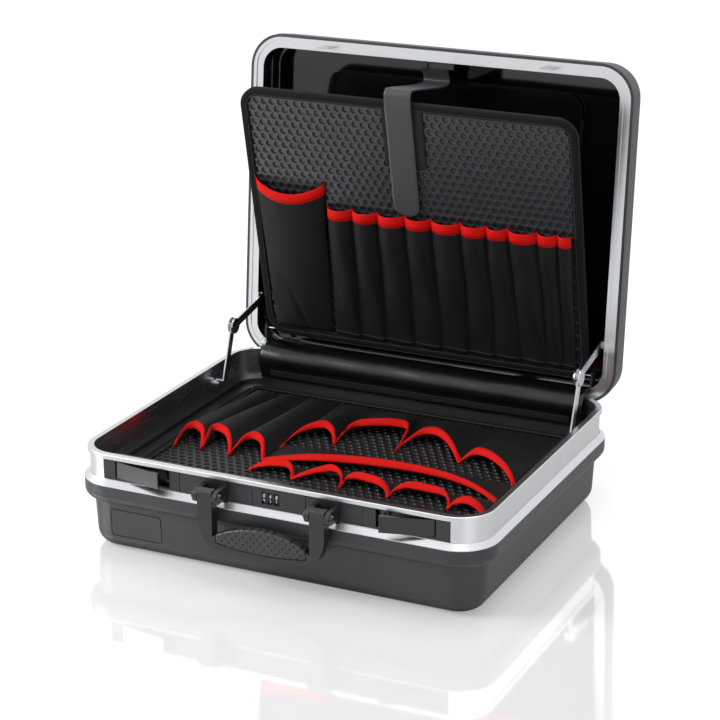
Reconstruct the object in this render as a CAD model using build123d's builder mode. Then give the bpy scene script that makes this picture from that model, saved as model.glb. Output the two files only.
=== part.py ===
from build123d import *
from math import atan2, cos, degrees, radians, sin, tan
import os

os.makedirs("parts", exist_ok=True)

# Hard tool case, open. Millimetres, +Z up, X to the right, Y to the back.
# The origin is on the floor, under the middle of the base.

# ---- driving dimensions: the two halves ----
case_width = 480.0          # across the aluminium frames
case_depth = 392.0
corner_radius = 38.0        # of both frames, seen from above
rim_z = 116.0               # top of the base's frame
collar_top = 80.0           # where the frame meets the plastic shell
collar_foot = 58.0          # underside of the shell's bulging collar
collar_reach = 7.0          # collar beyond the frame
wall_inset = 3.8            # shell wall inside the frame's face
shell_wall = 3.0
shell_draft = 3.0           # degrees
foot_radius = 18.0
fit_gap = 0.3               # between pieces that do not touch

frame_wall = 4.8
foot_flange = 6.0           # height of the base frame's spread foot
flange_edge = 0.8           # its upright outer edge
bead_height = 5.0           # rounded bead along the rim
bead_reach = 2.6

lid_depth = 45.0
lid_gap = 0.5               # seal gap between the frames, closed
lid_ring = 13.0             # silver ring seen when the lid is open
lid_ring_skin = 3.0
lid_frame_depth = 22.0
lid_frame_wall = 2.5
lid_lip = 3.4               # shell's lip beyond the ring
lid_lip_depth = 9.0
lid_wall_reach = 2.4
lid_draft = 2.0
lid_edge_radius = 18.0
ring_groove_width = 5.0
ring_groove_depth = 1.2

# ---- hinge line, in the plane of the base's back face ----
hinge_y = case_depth / 2
hinge_z = 108.8
closing_turn = 95.0         # degrees from open to shut
lean = closing_turn - 90.0

# The lid is drawn where it stands open: its shut place turned back about the hinge.
shut_dy = case_depth / 2 - hinge_y
shut_dz = rim_z + lid_gap - hinge_z
turn = radians(closing_turn)
lid_y = hinge_y + shut_dy * cos(turn) + shut_dz * sin(turn)
lid_z = hinge_z - shut_dy * sin(turn) + shut_dz * cos(turn)
up_y = sin(radians(lean))
up_z = cos(radians(lean))


def lid_point(height, forward):
    """Y and Z of a place on the open lid: so far up its ring, so far out of its mouth."""
    return (
        lid_y + height * up_y - forward * up_z,
        lid_z + height * up_z + forward * up_y,
    )


mid_y, mid_z = lid_point(case_depth / 2, 0)
lid_face = Plane(origin=(0, mid_y, mid_z), x_dir=(1, 0, 0), z_dir=(0, -up_z, up_y))


def corner_rise(x, inset):
    """How far inside the outline an inset outline lies at x, past the start of a rounded corner."""
    radius = corner_radius - inset
    past = max(x - (case_width / 2 - corner_radius), 0)
    return inset + radius - (radius**2 - past**2) ** 0.5


def finish(builder, label):
    """Name a finished piece and write its file."""
    builder.part.label = label
    export_step(builder.part, f"parts/{label}.step")


# ================= base shell and frame =================
with BuildPart() as base_shell:
    with BuildSketch(Plane.XY.offset(collar_foot)):
        RectangleRounded(
            case_width - 2 * wall_inset, case_depth - 2 * wall_inset, corner_radius - wall_inset
        )
    extrude(amount=-collar_foot, taper=shell_draft)
    fillet(base_shell.faces().sort_by(Axis.Z)[0].edges(), radius=foot_radius)
    with BuildSketch(Plane.XY.offset(collar_foot)) as collar_outline:
        RectangleRounded(
            case_width + 2 * collar_reach, case_depth + 2 * collar_reach, corner_radius + collar_reach
        )
    extrude(amount=collar_top - collar_foot)
    collar_face = base_shell.faces().filter_by(Axis.Z).group_by(Axis.Z)[1].sort_by(SortBy.AREA)[-1]
    fillet(collar_face.outer_wire().edges(), radius=collar_reach + wall_inset - 1)
    # the hollow: one straight-sided part inside the collar, one drafted part below
    with BuildSketch(Plane.XY.offset(collar_foot + shell_wall)):
        RectangleRounded(
            case_width + 2 * (collar_reach - shell_wall),
            case_depth + 2 * (collar_reach - shell_wall),
            corner_radius + collar_reach - shell_wall,
        )
    extrude(amount=collar_top - collar_foot, mode=Mode.SUBTRACT)
    cavity_inset = wall_inset + shell_wall
    with BuildPart(mode=Mode.PRIVATE) as lower_cavity:
        with BuildSketch(Plane.XY.offset(collar_foot + shell_wall)):
            RectangleRounded(
                case_width - 2 * cavity_inset, case_depth - 2 * cavity_inset, corner_radius - cavity_inset
            )
        extrude(amount=-collar_foot, taper=shell_draft)
        fillet(lower_cavity.faces().sort_by(Axis.Z)[0].edges(), radius=foot_radius - shell_wall)
    add(lower_cavity.part, mode=Mode.SUBTRACT)

    # a sunk outline on the front, to the left
    panel_width = 65.0
    panel_height = 33.0
    panel_x = -170.0
    panel_drop = 24.0           # from the collar down to its middle
    panel_line = 1.4
    panel_depth = 0.7
    front_wall = Plane(
        origin=(panel_x, -(case_depth / 2 - wall_inset), collar_foot),
        x_dir=(1, 0, 0),
        z_dir=(0, -cos(radians(shell_draft)), -sin(radians(shell_draft))),
    )
    with BuildSketch(front_wall):
        with Locations((0, -panel_drop)):
            RectangleRounded(panel_width, panel_height, 5)
            RectangleRounded(
                panel_width - 2 * panel_line, panel_height - 2 * panel_line, 5 - panel_line,
                mode=Mode.SUBTRACT,
            )
    extrude(amount=-panel_depth, mode=Mode.SUBTRACT)
finish(base_shell, "base_shell")

# ---- the row of grey plates let into the frame's front ----
front_y = -case_depth / 2
recess_depth = 2.4
plate_thickness = 2.2
recess_low = 86.5
recess_high = 110.8
plate_slit = 1.8
recess_left = -206.0
latch_plate_end = 111.0      # inner end of each latch plate, from the middle
recess_right = 208.0
code_plate_left = -20.5
code_plate_right = 41.0
recess_mid_z = (recess_low + recess_high) / 2
plate_height = recess_high - recess_low

# ---- latches ----
latch_window_outer = 191.5   # from the middle of the case
latch_window_inner = 123.2
latch_window_low = 89.0
latch_window_high = 109.0
latch_pivot_x = 186.5
latch_pivot_y = front_y + 4.5
latch_end_x = 130.0          # tip of a closed lever
lever_thickness = 4.0
lever_height = 18.6
lever_pin_radius = 1.0
pin_play = 0.1
left_latch_open = 11.0       # degrees, as it stands
right_latch_open = 15.0
latch_travel = 40.0          # from shut to fully out
bolt_throw = 2.5
latch_mid_z = (latch_window_low + latch_window_high) / 2

# ---- code lock ----
wheel_radius = 8.5
wheel_width = 5.8
wheel_pitch = 7.4
wheel_count = 3
wheel_z = 98.0
wheel_proud = 0.3
wheel_y = front_y - wheel_proud + wheel_radius
wheel_window_height = 13.6
wheel_window_width = 6.4
shaft_radius = 2.0

# ---- lock housings behind the front wall ----
housing_wall = 1.5
housing_depth = 9.0
housing_low = 84.5
housing_high = 113.0
housing_outer = 195.0
housing_inner = 113.5
code_housing_half = 16.0
code_housing_depth = 14.0
inner_front_y = front_y + frame_wall
window_play = 1.5            # frame's window round the latch and the wheels
tongue_x = 141.0
tongue_width = 16.0
tongue_thickness = 1.6
tongue_y = inner_front_y + 2.4
tongue_length = 15.0
tongue_play = 1.4

bolt_arm_low = 104.4
bolt_arm_high = 107.6
bolt_low = 93.5
bolt_thickness = 2.0
bolt_width = 8.5
bolt_stud_radius = 1.4
bolt_stud_z = 96.5
arm_gap = 0.7                # between a drawn-back bolt and the tongue's side
bolt_end = tongue_x - tongue_width / 2 - arm_gap
bolt_shoulder = 2.2          # of the plate, behind the arm's end
bolt_plate_width = 7.7       # clears the housing's wall when drawn right back
bolt_stud_reach = 1.2        # stops just inside the frame's wall

# ---- hinges ----
hinge_x = 140.0
hinge_length = 110.0
knuckle_radius = 2.4
knuckle_count = 5
knuckle_slit = 0.4
hinge_pin_radius = 1.2
leaf_reach = 22.0
lid_leaf_reach = 27.0
leaf_root = 3.7              # where the full-width leaf starts, clear of the other's knuckles
hinge_notch_wall = 2.1       # frame left behind the knuckles

# ---- stays: two links a side; base pivot, elbow, lid pivot and hinge make a parallelogram ----
stay_base_y = hinge_y - 82.8
stay_base_z = 92.6
stay_lid_height = 69.8       # of the lid's pivot, up the lid
stay_lid_back = 10.8         # behind the ring's face
stay_lid_y, stay_lid_z = lid_point(stay_lid_height, -stay_lid_back)
elbow_y = stay_base_y + stay_lid_y - hinge_y
elbow_z = stay_base_z + stay_lid_z - hinge_z
stay_width = 10.0
stay_thickness = 1.8
stay_plane = case_width / 2 - 15.2     # outer face of the lower links, from the middle
stay_pin_radius = 2.0
stay_anchor = case_width / 2 - 6.5     # outer face of the cranked ends
crank_start = 3.6            # from the pivot to the step in the strip
elbow_radius = 10.0
elbow_disc = 1.4
anchor_head = 1.2
pin_fit = 0.05
side_play = 0.15

with BuildPart() as base_frame:
    with BuildSketch(Plane.XY.offset(collar_top)):
        RectangleRounded(case_width, case_depth, corner_radius)
    extrude(amount=rim_z - collar_top)
    with BuildSketch(Plane.XY.offset(rim_z - bead_height)):
        RectangleRounded(
            case_width + 2 * bead_reach, case_depth + 2 * bead_reach, corner_radius + bead_reach
        )
    extrude(amount=bead_height)
    with BuildSketch(Plane.XY.offset(collar_top)):
        RectangleRounded(
            case_width + 2 * collar_reach, case_depth + 2 * collar_reach, corner_radius + collar_reach
        )
    extrude(amount=foot_flange)
    flange_top = base_frame.faces().filter_by(Axis.Z).group_by(Axis.Z)[1].sort_by(SortBy.AREA)[-1]
    chamfer(
        flange_top.outer_wire().edges(), length=foot_flange - flange_edge, length2=collar_reach - flange_edge
    )
    rim_top = base_frame.faces().sort_by(Axis.Z)[-1]
    fillet(rim_top.edges(), radius=1.4)
    with BuildSketch(Plane.XY.offset(collar_top)):
        RectangleRounded(
            case_width - 2 * frame_wall, case_depth - 2 * frame_wall, corner_radius - frame_wall
        )
    extrude(amount=rim_z - collar_top, mode=Mode.SUBTRACT)
    # recess for the plates
    with BuildSketch(Plane.XZ.offset(-front_y)):
        with Locations(((recess_left + recess_right) / 2, recess_mid_z)):
            Rectangle(recess_right - recess_left, plate_height)
    extrude(amount=-recess_depth, mode=Mode.SUBTRACT)
    # windows for the latches and the wheels
    with BuildSketch(Plane.XZ.offset(-front_y)):
        for side in (-1, 1):
            with Locations((side * (latch_window_outer + latch_window_inner) / 2, latch_mid_z)):
                Rectangle(
                    latch_window_outer - latch_window_inner + 2 * window_play,
                    latch_window_high - latch_window_low + window_play,
                )
        with Locations((0, wheel_z)):
            Rectangle(wheel_count * wheel_pitch + window_play, 2 * wheel_radius + window_play)
    extrude(amount=-frame_wall, mode=Mode.SUBTRACT)
    # seats for the latch pins
    for side in (-1, 1):
        with Locations((side * latch_pivot_x, latch_pivot_y, latch_mid_z)):
            Cylinder(lever_pin_radius + pin_play, housing_high - housing_low - 2, mode=Mode.SUBTRACT)
    # holes for the stays' pins
    with BuildSketch(Plane.YZ):
        with Locations((stay_base_y, stay_base_z)):
            Circle(stay_pin_radius + pin_fit)
    extrude(amount=case_width, both=True, mode=Mode.SUBTRACT)
    # notches that take the hinge knuckles
    for side in (-1, 1):
        with Locations((side * hinge_x, hinge_y - frame_wall + hinge_notch_wall, hinge_z - knuckle_radius - 1)):
            Box(
                hinge_length + 2,
                2 * frame_wall,
                rim_z,
                align=(Align.CENTER, Align.MIN, Align.MIN),
                mode=Mode.SUBTRACT,
            )
finish(base_frame, "base_frame")

# ================= ledge round the inside of the base =================
ledge_outer_inset = 12.0     # inner edge of its top step, from the frame's face
ledge_mid_inset = 26.5
ledge_inner_inset = 40.0
ledge_mid_top = 75.0
ledge_seat_top = 70.7
ledge_low = 66.0
ledge_top = collar_top - 0.2
ledge_skirt = collar_reach - shell_wall - fit_gap

# ---- the tool board that lies on the ledge, hinged along its back edge ----
tray_width = case_width - 59.0
tray_front = 27.5 - case_depth / 2
tray_thickness = 5.0
tray_radius = 16.0
board_pin_radius = 1.2
board_pin_grip = 8.0
tray_low = ledge_seat_top + fit_gap
tray_top = tray_low + tray_thickness
tray_pivot_y = case_depth / 2 - 34.0
tray_pivot_z = tray_low + tray_thickness / 2
tray_back = tray_pivot_y + tray_thickness / 2
tray_length = tray_back - tray_front
tray_mid_y = (tray_back + tray_front) / 2

with BuildPart() as base_ledge:
    with BuildSketch(Plane.XY.offset(collar_foot + shell_wall)):
        RectangleRounded(
            case_width + 2 * ledge_skirt, case_depth + 2 * ledge_skirt, corner_radius + ledge_skirt
        )
    extrude(amount=ledge_top - collar_foot - shell_wall)
    # the skirt stands on the shell's step, the ledge itself is clear of the wall below
    with BuildSketch(Plane.XY.offset(collar_foot + shell_wall)):
        RectangleRounded(
            case_width - 2 * (cavity_inset - 1), case_depth - 2 * (cavity_inset - 1),
            corner_radius - cavity_inset + 1,
        )
    extrude(amount=ledge_low - collar_foot - shell_wall, mode=Mode.SUBTRACT)
    for inset, floor_z in (
        (ledge_outer_inset, ledge_mid_top),
        (ledge_mid_inset, ledge_seat_top),
        (ledge_inner_inset, ledge_low),
    ):
        with BuildSketch(Plane.XY.offset(floor_z)):
            RectangleRounded(
                case_width - 2 * inset, case_depth - 2 * inset, max(corner_radius - inset, 10)
            )
        extrude(amount=ledge_top - floor_z, mode=Mode.SUBTRACT)
    # bores for the pins of the base's board
    with BuildSketch(Plane.YZ):
        with Locations((tray_pivot_y, tray_pivot_z)):
            Circle(board_pin_radius + pin_fit)
    extrude(amount=tray_width / 2 + 6.5, both=True, mode=Mode.SUBTRACT)
finish(base_ledge, "base_ledge")

# ================= plates on the front =================
with BuildPart() as latch_plates:
    with BuildSketch(Plane.XZ.offset(-front_y - recess_depth)):
        for outer, side in ((recess_left + fit_gap, -1), (recess_right - plate_slit, 1)):
            with Locations(((outer + side * latch_plate_end) / 2, recess_mid_z)):
                Rectangle(abs(outer) - latch_plate_end, plate_height - 2 * fit_gap)
            with Locations((side * (latch_window_outer + latch_window_inner) / 2, latch_mid_z)):
                Rectangle(
                    latch_window_outer - latch_window_inner, latch_window_high - latch_window_low,
                    mode=Mode.SUBTRACT,
                )
    extrude(amount=plate_thickness)
finish(latch_plates, "latch_plates")

with BuildPart() as handle_plates:
    with BuildSketch(Plane.XZ.offset(-front_y - recess_depth)):
        for low, high in (
            (-latch_plate_end + plate_slit, code_plate_left - plate_slit),
            (code_plate_right + plate_slit, latch_plate_end - plate_slit),
        ):
            with Locations(((low + high) / 2, recess_mid_z)):
                Rectangle(high - low, plate_height - 2 * fit_gap)
    extrude(amount=plate_thickness)
finish(handle_plates, "handle_plates")

with BuildPart() as code_plate:
    with BuildSketch(Plane.XZ.offset(-front_y - recess_depth)):
        with Locations(((code_plate_left + code_plate_right) / 2, recess_mid_z)):
            Rectangle(code_plate_right - code_plate_left, plate_height - 2 * fit_gap)
        with Locations((0, wheel_z)):
            with GridLocations(wheel_pitch, 1, wheel_count, 1):
                Rectangle(wheel_window_width, wheel_window_height, mode=Mode.SUBTRACT)
    extrude(amount=plate_thickness)
finish(code_plate, "code_plate")

# ---- housings: boxes open to the front, the outer two slotted for the lid's tongues ----
with BuildPart() as lock_housings:
    housing_mid_z = (housing_low + housing_high) / 2
    housing_height = housing_high - housing_low
    for mid_x, length, depth in (
        (-(housing_outer + housing_inner) / 2, housing_outer - housing_inner, housing_depth),
        ((housing_outer + housing_inner) / 2, housing_outer - housing_inner, housing_depth),
        (0, 2 * code_housing_half, code_housing_depth),
    ):
        with BuildSketch(Plane.XZ.offset(-inner_front_y)):
            with Locations((mid_x, housing_mid_z)):
                Rectangle(length, housing_height)
        extrude(amount=-depth)
        with BuildSketch(Plane.XZ.offset(-inner_front_y)):
            with Locations((mid_x, housing_mid_z)):
                Rectangle(length - 2 * housing_wall, housing_height - 2 * housing_wall)
        extrude(amount=-(depth - housing_wall), mode=Mode.SUBTRACT)
    with BuildSketch(Plane.XY.offset(housing_high)):
        for side in (-1, 1):
            with Locations((side * tongue_x, tongue_y)):
                Rectangle(tongue_width + 2 * tongue_play, tongue_thickness + 2 * tongue_play)
    extrude(amount=-2 * housing_wall, mode=Mode.SUBTRACT)
    # a guide behind each bolt
    guide_y = tongue_y + bolt_thickness / 2 + fit_gap
    guide_end = inner_front_y + housing_depth - housing_wall
    for side in (-1, 1):
        with Locations((side * (bolt_end - bolt_width / 2), guide_y, (bolt_low + bolt_arm_high) / 2)):
            Box(
                bolt_width + 4, guide_end - guide_y, bolt_arm_high - bolt_low - 2,
                align=(Align.CENTER, Align.MIN, Align.CENTER),
            )
    for side in (-1, 1):
        with Locations((side * latch_pivot_x, latch_pivot_y, latch_mid_z)):
            Cylinder(lever_pin_radius + pin_play, housing_height, mode=Mode.SUBTRACT)
finish(lock_housings, "lock_housings")

# ================= latch levers, their pins and bolts =================
lever_low = latch_mid_z - lever_height / 2
lever_front = front_y - latch_pivot_y          # front face, from the pivot, when shut
barrel_radius = 2.6


def make_lever(side, opened):
    """A lever: a flat plate with a hinge barrel near its outer end, swung out by so many degrees."""
    swing = radians(opened)
    stand = Plane(
        origin=(side * latch_pivot_x, latch_pivot_y, lever_low),
        x_dir=(cos(swing), side * sin(swing), 0),
        z_dir=(0, 0, 1),
    )
    reach = latch_pivot_x - latch_end_x
    with BuildPart() as lever:
        with BuildSketch(stand):
            with Locations((-side * (reach - 2) / 2, lever_front + lever_thickness / 2)):
                Rectangle(reach + 2, lever_thickness)
            Circle(barrel_radius)
        extrude(amount=lever_height)
        with Locations(stand):
            Cylinder(
                lever_pin_radius + pin_play, lever_height,
                align=(Align.CENTER, Align.CENTER, Align.MIN), mode=Mode.SUBTRACT,
            )
        # finger chamfer along the free end
        tip = lever.edges().filter_by(Axis.Z).sort_by(Axis.X)
        chamfer(tip[-1 if side < 0 else 0], length=1.0)
    return lever


left_latch_lever = make_lever(-1, left_latch_open)
finish(left_latch_lever, "left_latch_lever")
right_latch_lever = make_lever(1, right_latch_open)
finish(right_latch_lever, "right_latch_lever")

with BuildPart() as latch_pins:
    for side in (-1, 1):
        with Locations((side * latch_pivot_x, latch_pivot_y, latch_mid_z)):
            Cylinder(lever_pin_radius, housing_height - 4)
finish(latch_pins, "latch_pins")

def make_bolt(side):
    """A flat sliding bolt with an arm that enters the side of the lid's tongue."""
    plate_x = side * (bolt_end - bolt_shoulder - bolt_plate_width / 2)
    with BuildPart() as bolt:
        with BuildSketch(Plane.XZ.offset(-tongue_y + bolt_thickness / 2)):
            with Locations((plate_x, (bolt_low + bolt_arm_high) / 2)):
                Rectangle(bolt_plate_width, bolt_arm_high - bolt_low)
            with Locations((side * (bolt_end - bolt_width / 2), (bolt_arm_low + bolt_arm_high) / 2)):
                Rectangle(bolt_width, bolt_arm_high - bolt_arm_low)
        extrude(amount=-bolt_thickness)
        with BuildSketch(Plane.XZ.offset(-tongue_y + bolt_thickness / 2)):
            with Locations((plate_x, bolt_stud_z)):
                Circle(bolt_stud_radius)
        extrude(amount=bolt_stud_reach)
    return bolt


left_latch_bolt = make_bolt(-1)
finish(left_latch_bolt, "left_latch_bolt")
right_latch_bolt = make_bolt(1)
finish(right_latch_bolt, "right_latch_bolt")

# ================= code lock =================
wheel_names = ("left", "middle", "right")
for index, place in enumerate(wheel_names):
    wheel_x = (index - (wheel_count - 1) / 2) * wheel_pitch
    with BuildPart() as code_wheel:
        with BuildSketch(Plane.YZ.offset(wheel_x - wheel_width / 2)):
            with Locations((wheel_y, wheel_z)):
                Circle(wheel_radius)
                Circle(shaft_radius + pin_play, mode=Mode.SUBTRACT)
        extrude(amount=wheel_width)
        chamfer(code_wheel.edges().filter_by(GeomType.CIRCLE).group_by(SortBy.LENGTH)[-1], length=0.4)
    finish(code_wheel, f"code_wheel_{place}")

with BuildPart() as code_shaft:
    with BuildSketch(Plane.YZ.offset(-code_housing_half + housing_wall)):
        with Locations((wheel_y, wheel_z)):
            Circle(shaft_radius)
    extrude(amount=2 * (code_housing_half - housing_wall))
finish(code_shaft, "code_shaft")

# ================= handle =================
handle_y = front_y - 18.5    # pivot, in front of the plates
handle_z = 97.0
arm_inner = 58.0
arm_outer = 75.4
arm_back = handle_y + 5.8
arm_thickness = 12.3
arm_top = 8.4                # above the pivot
arm_waist_z = 76.0           # below it the outer edge draws in
arm_waist_bow = 1.6
arm_foot_x = 68.5
arm_foot_z = 50.0
bar_half = 60.0
bar_bottom = 41.5            # at its ends, and lower in the middle
bar_bow = 4.5
bar_top = 54.0               # at the arms, and higher in the middle
bar_top_bow = 15.0
grip_half = 54.0
grip_low = 47.7              # at its ends
grip_low_bow = 4.8
grip_high = 57.0
grip_high_bow = 13.6
grip_depth = 8.0             # of the recess it lies in
grip_proud = 1.0
grip_edge_radius = 2.5
ear_thickness = 5.2
ear_radius = 7.4
ear_play = 0.6
bracket_plate = 2.8
handle_pin_radius = 2.5
knob_radius = 5.0
knob_height = 3.0
bracket_low = 87.0
bracket_high = 110.4

with BuildPart() as handle_frame:
    with BuildSketch(Plane.XZ.offset(-arm_back)):
        with BuildLine():
            Polyline(
                (-arm_outer, arm_waist_z), (-arm_outer, handle_z + arm_top),
                (-arm_inner, handle_z + arm_top), (-arm_inner, bar_top),
            )
            ThreePointArc((-arm_inner, bar_top), (0, bar_top + bar_top_bow), (arm_inner, bar_top))
            Polyline(
                (arm_inner, bar_top), (arm_inner, handle_z + arm_top),
                (arm_outer, handle_z + arm_top), (arm_outer, arm_waist_z),
            )
            for side in (-1, 1):
                ThreePointArc(
                    (side * arm_outer, arm_waist_z),
                    (side * (arm_outer - arm_waist_bow), (arm_waist_z + arm_foot_z) / 2),
                    (side * arm_foot_x, arm_foot_z),
                )
                Line((side * arm_foot_x, arm_foot_z), (side * bar_half, bar_bottom))
            ThreePointArc((bar_half, bar_bottom), (0, bar_bottom - bar_bow), (-bar_half, bar_bottom))
        make_face()
    extrude(amount=arm_thickness)
    # the grip's recess, open upward
    with BuildSketch(Plane.XZ.offset(-arm_back + arm_thickness - grip_depth)):
        with BuildLine():
            recess_half = grip_half + fit_gap
            recess_low = grip_low - fit_gap
            Polyline(
                (-recess_half, recess_low), (-recess_half, handle_z / 2 + bar_top / 2),
                (recess_half, handle_z / 2 + bar_top / 2), (recess_half, recess_low),
            )
            ThreePointArc(
                (recess_half, recess_low), (0, recess_low - grip_low_bow), (-recess_half, recess_low)
            )
        make_face()
    extrude(amount=grip_depth, mode=Mode.SUBTRACT)
    top_edges = handle_frame.edges().filter_by(Axis.X).filter_by(
        lambda edge: edge.center().Z > handle_z + arm_top - 0.1
    )
    fillet(top_edges, radius=3.2)
    for side in (-1, 1):
        with BuildSketch(Plane.YZ.offset(side * arm_inner)):
            with Locations((handle_y, handle_z)):
                Circle(handle_pin_radius + pin_play)
        extrude(amount=side * (arm_outer - arm_inner), mode=Mode.SUBTRACT)
finish(handle_frame, "handle_frame")

with BuildPart() as handle_grip:
    with BuildSketch(Plane.XZ.offset(-arm_back + arm_thickness - grip_depth)):
        with BuildLine():
            Line((-grip_half, grip_low), (-grip_half, grip_high))
            ThreePointArc(
                (-grip_half, grip_high), (0, grip_high + grip_high_bow), (grip_half, grip_high)
            )
            Line((grip_half, grip_high), (grip_half, grip_low))
            ThreePointArc((grip_half, grip_low), (0, grip_low - grip_low_bow), (-grip_half, grip_low))
        make_face()
    extrude(amount=grip_depth + grip_proud)
    grip_front = handle_grip.faces().sort_by(Axis.Y)[0]
    fillet(grip_front.edges(), radius=grip_edge_radius)
finish(handle_grip, "handle_grip")

with BuildPart() as handle_brackets:
    for side in (-1, 1):
        outer_ear = arm_outer + ear_play
        inner_ear = arm_inner - ear_play - ear_thickness
        plate_mid = (inner_ear + outer_ear + ear_thickness) / 2
        with BuildSketch(Plane.XZ.offset(-front_y + (plate_thickness - recess_depth))):
            with Locations((side * plate_mid, (bracket_low + bracket_high) / 2)):
                Rectangle(outer_ear + ear_thickness - inner_ear + 2, bracket_high - bracket_low)
        extrude(amount=bracket_plate)
        for ear_x in (inner_ear, outer_ear):
            low_x = min(side * ear_x, side * (ear_x + ear_thickness))
            with BuildSketch(Plane.YZ.offset(low_x)):
                with Locations((handle_y, handle_z)):
                    Circle(ear_radius)
                with Locations(((handle_y + front_y) / 2, handle_z)):
                    Rectangle(front_y - handle_y - 0.4, 2 * ear_radius)
                with Locations((handle_y, handle_z)):
                    Circle(handle_pin_radius + 0.05, mode=Mode.SUBTRACT)
            extrude(amount=ear_thickness)
finish(handle_brackets, "handle_brackets")

with BuildPart() as handle_pins:
    for side in (-1, 1):
        inner_end = side * (inner_ear - 0.1)
        outer_end = side * (outer_ear + ear_thickness + 0.1)
        with BuildSketch(Plane.YZ.offset(inner_end)):
            with Locations((handle_y, handle_z)):
                Circle(handle_pin_radius)
        extrude(amount=outer_end - inner_end)
        for end, outward in ((inner_end, -side), (outer_end, side)):
            with BuildSketch(Plane.YZ.offset(end)):
                with Locations((handle_y, handle_z)):
                    Circle(knob_radius)
            extrude(amount=outward * knob_height, taper=25)
finish(handle_pins, "handle_pins")

# ================= lid shell, frame and liner =================
with BuildPart() as lid_shell:
    with BuildSketch(lid_face):
        RectangleRounded(
            case_width + 2 * lid_wall_reach, case_depth + 2 * lid_wall_reach, corner_radius + lid_wall_reach
        )
    extrude(amount=-lid_depth, taper=lid_draft)
    fillet(lid_shell.faces().sort_by(Axis.Y)[-1].edges(), radius=lid_edge_radius)
    with BuildSketch(lid_face):
        RectangleRounded(case_width + 2 * lid_lip, case_depth + 2 * lid_lip, corner_radius + lid_lip)
    extrude(amount=-lid_lip_depth)
    with BuildSketch(lid_face):
        RectangleRounded(case_width + 0.4, case_depth + 0.4, corner_radius + 0.2)
    extrude(amount=-lid_frame_depth - 0.2, mode=Mode.SUBTRACT)
    with BuildPart(mode=Mode.PRIVATE) as lid_cavity:
        with BuildSketch(lid_face):
            RectangleRounded(case_width - 4, case_depth - 4, corner_radius - 2)
        extrude(amount=-(lid_depth - 2.4))
        fillet(lid_cavity.faces().sort_by(Axis.Y)[-1].edges(), radius=lid_edge_radius - 2)
    add(lid_cavity.part, mode=Mode.SUBTRACT)
    # the lower wall is cut away where the hinge leaves lie on the frame
    with BuildSketch(lid_face):
        with Locations(*[(side * hinge_x, -case_depth / 2 - lid_lip) for side in (-1, 1)]):
            Rectangle(hinge_length + 2, 2 * lid_lip)
    extrude(amount=-(lid_leaf_reach - shut_dz + 0.5), mode=Mode.SUBTRACT)
finish(lid_shell, "lid_shell")

with BuildPart() as lid_frame:
    with BuildSketch(lid_face):
        RectangleRounded(case_width, case_depth, corner_radius)
    extrude(amount=-lid_frame_depth)
    with BuildSketch(lid_face.offset(-lid_ring_skin)):
        RectangleRounded(
            case_width - 2 * lid_frame_wall, case_depth - 2 * lid_frame_wall, corner_radius - lid_frame_wall
        )
    extrude(amount=-lid_frame_depth, mode=Mode.SUBTRACT)
    with BuildSketch(lid_face):
        RectangleRounded(case_width - 2 * lid_ring, case_depth - 2 * lid_ring, corner_radius - lid_ring)
    extrude(amount=-lid_frame_depth, mode=Mode.SUBTRACT)
    # groove along the middle of the ring
    groove_inset = (lid_ring - ring_groove_width) / 2
    with BuildSketch(lid_face):
        RectangleRounded(
            case_width - 2 * groove_inset, case_depth - 2 * groove_inset, corner_radius - groove_inset
        )
        inner_inset = groove_inset + ring_groove_width
        RectangleRounded(
            case_width - 2 * inner_inset, case_depth - 2 * inner_inset, corner_radius - inner_inset,
            mode=Mode.SUBTRACT,
        )
    extrude(amount=-ring_groove_depth, mode=Mode.SUBTRACT)
finish(lid_frame, "lid_frame")

liner_inset = 2.9
liner_wall = 1.2
liner_front = lid_ring_skin + fit_gap
liner_back = lid_depth - 2.4 - fit_gap
liner_radius = 15.0

with BuildPart() as lid_liner:
    with BuildSketch(lid_face.offset(-liner_front)):
        RectangleRounded(
            case_width - 2 * liner_inset, case_depth - 2 * liner_inset, corner_radius - liner_inset
        )
    extrude(amount=-(liner_back - liner_front))
    fillet(lid_liner.faces().sort_by(Axis.Y)[-1].edges(), radius=liner_radius)
    inner_liner = liner_inset + liner_wall
    with BuildPart(mode=Mode.PRIVATE) as liner_cavity:
        with BuildSketch(lid_face.offset(-liner_front)):
            RectangleRounded(
                case_width - 2 * inner_liner, case_depth - 2 * inner_liner, corner_radius - inner_liner
            )
        extrude(amount=-(liner_back - liner_front - liner_wall))
        fillet(liner_cavity.faces().sort_by(Axis.Y)[-1].edges(), radius=liner_radius - liner_wall)
    add(liner_cavity.part, mode=Mode.SUBTRACT)
    # holes for the stays' pins
    with BuildSketch(Plane.YZ):
        with Locations((stay_lid_y, stay_lid_z)):
            Circle(stay_pin_radius + fit_gap)
    extrude(amount=case_width / 2, both=True, mode=Mode.SUBTRACT)
finish(lid_liner, "lid_liner")

document_width = 330.0
document_x = 5.0
document_low = 40.0
document_high = 352.0
document_depth = 7.0
document_skin = 1.5
with BuildPart() as document_pocket:
    document_front = liner_back - liner_wall - document_depth
    with BuildSketch(lid_face.offset(-document_front)):
        with Locations((document_x, (document_low + document_high - case_depth) / 2)):
            RectangleRounded(document_width, document_high - document_low, 20)
    extrude(amount=-document_skin)
    # three welded edges stand on the liner, the top stays open
    with BuildSketch(lid_face.offset(-document_front - document_skin)):
        with Locations((document_x, (document_low + document_high - case_depth) / 2)):
            RectangleRounded(document_width, document_high - document_low, 20)
            RectangleRounded(document_width - 12, document_high - document_low - 12, 14, mode=Mode.SUBTRACT)
        with Locations((document_x, document_high - case_depth / 2)):
            Rectangle(document_width, 60, mode=Mode.SUBTRACT)
    extrude(amount=-(document_depth - document_skin))
finish(document_pocket, "document_pocket")

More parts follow.
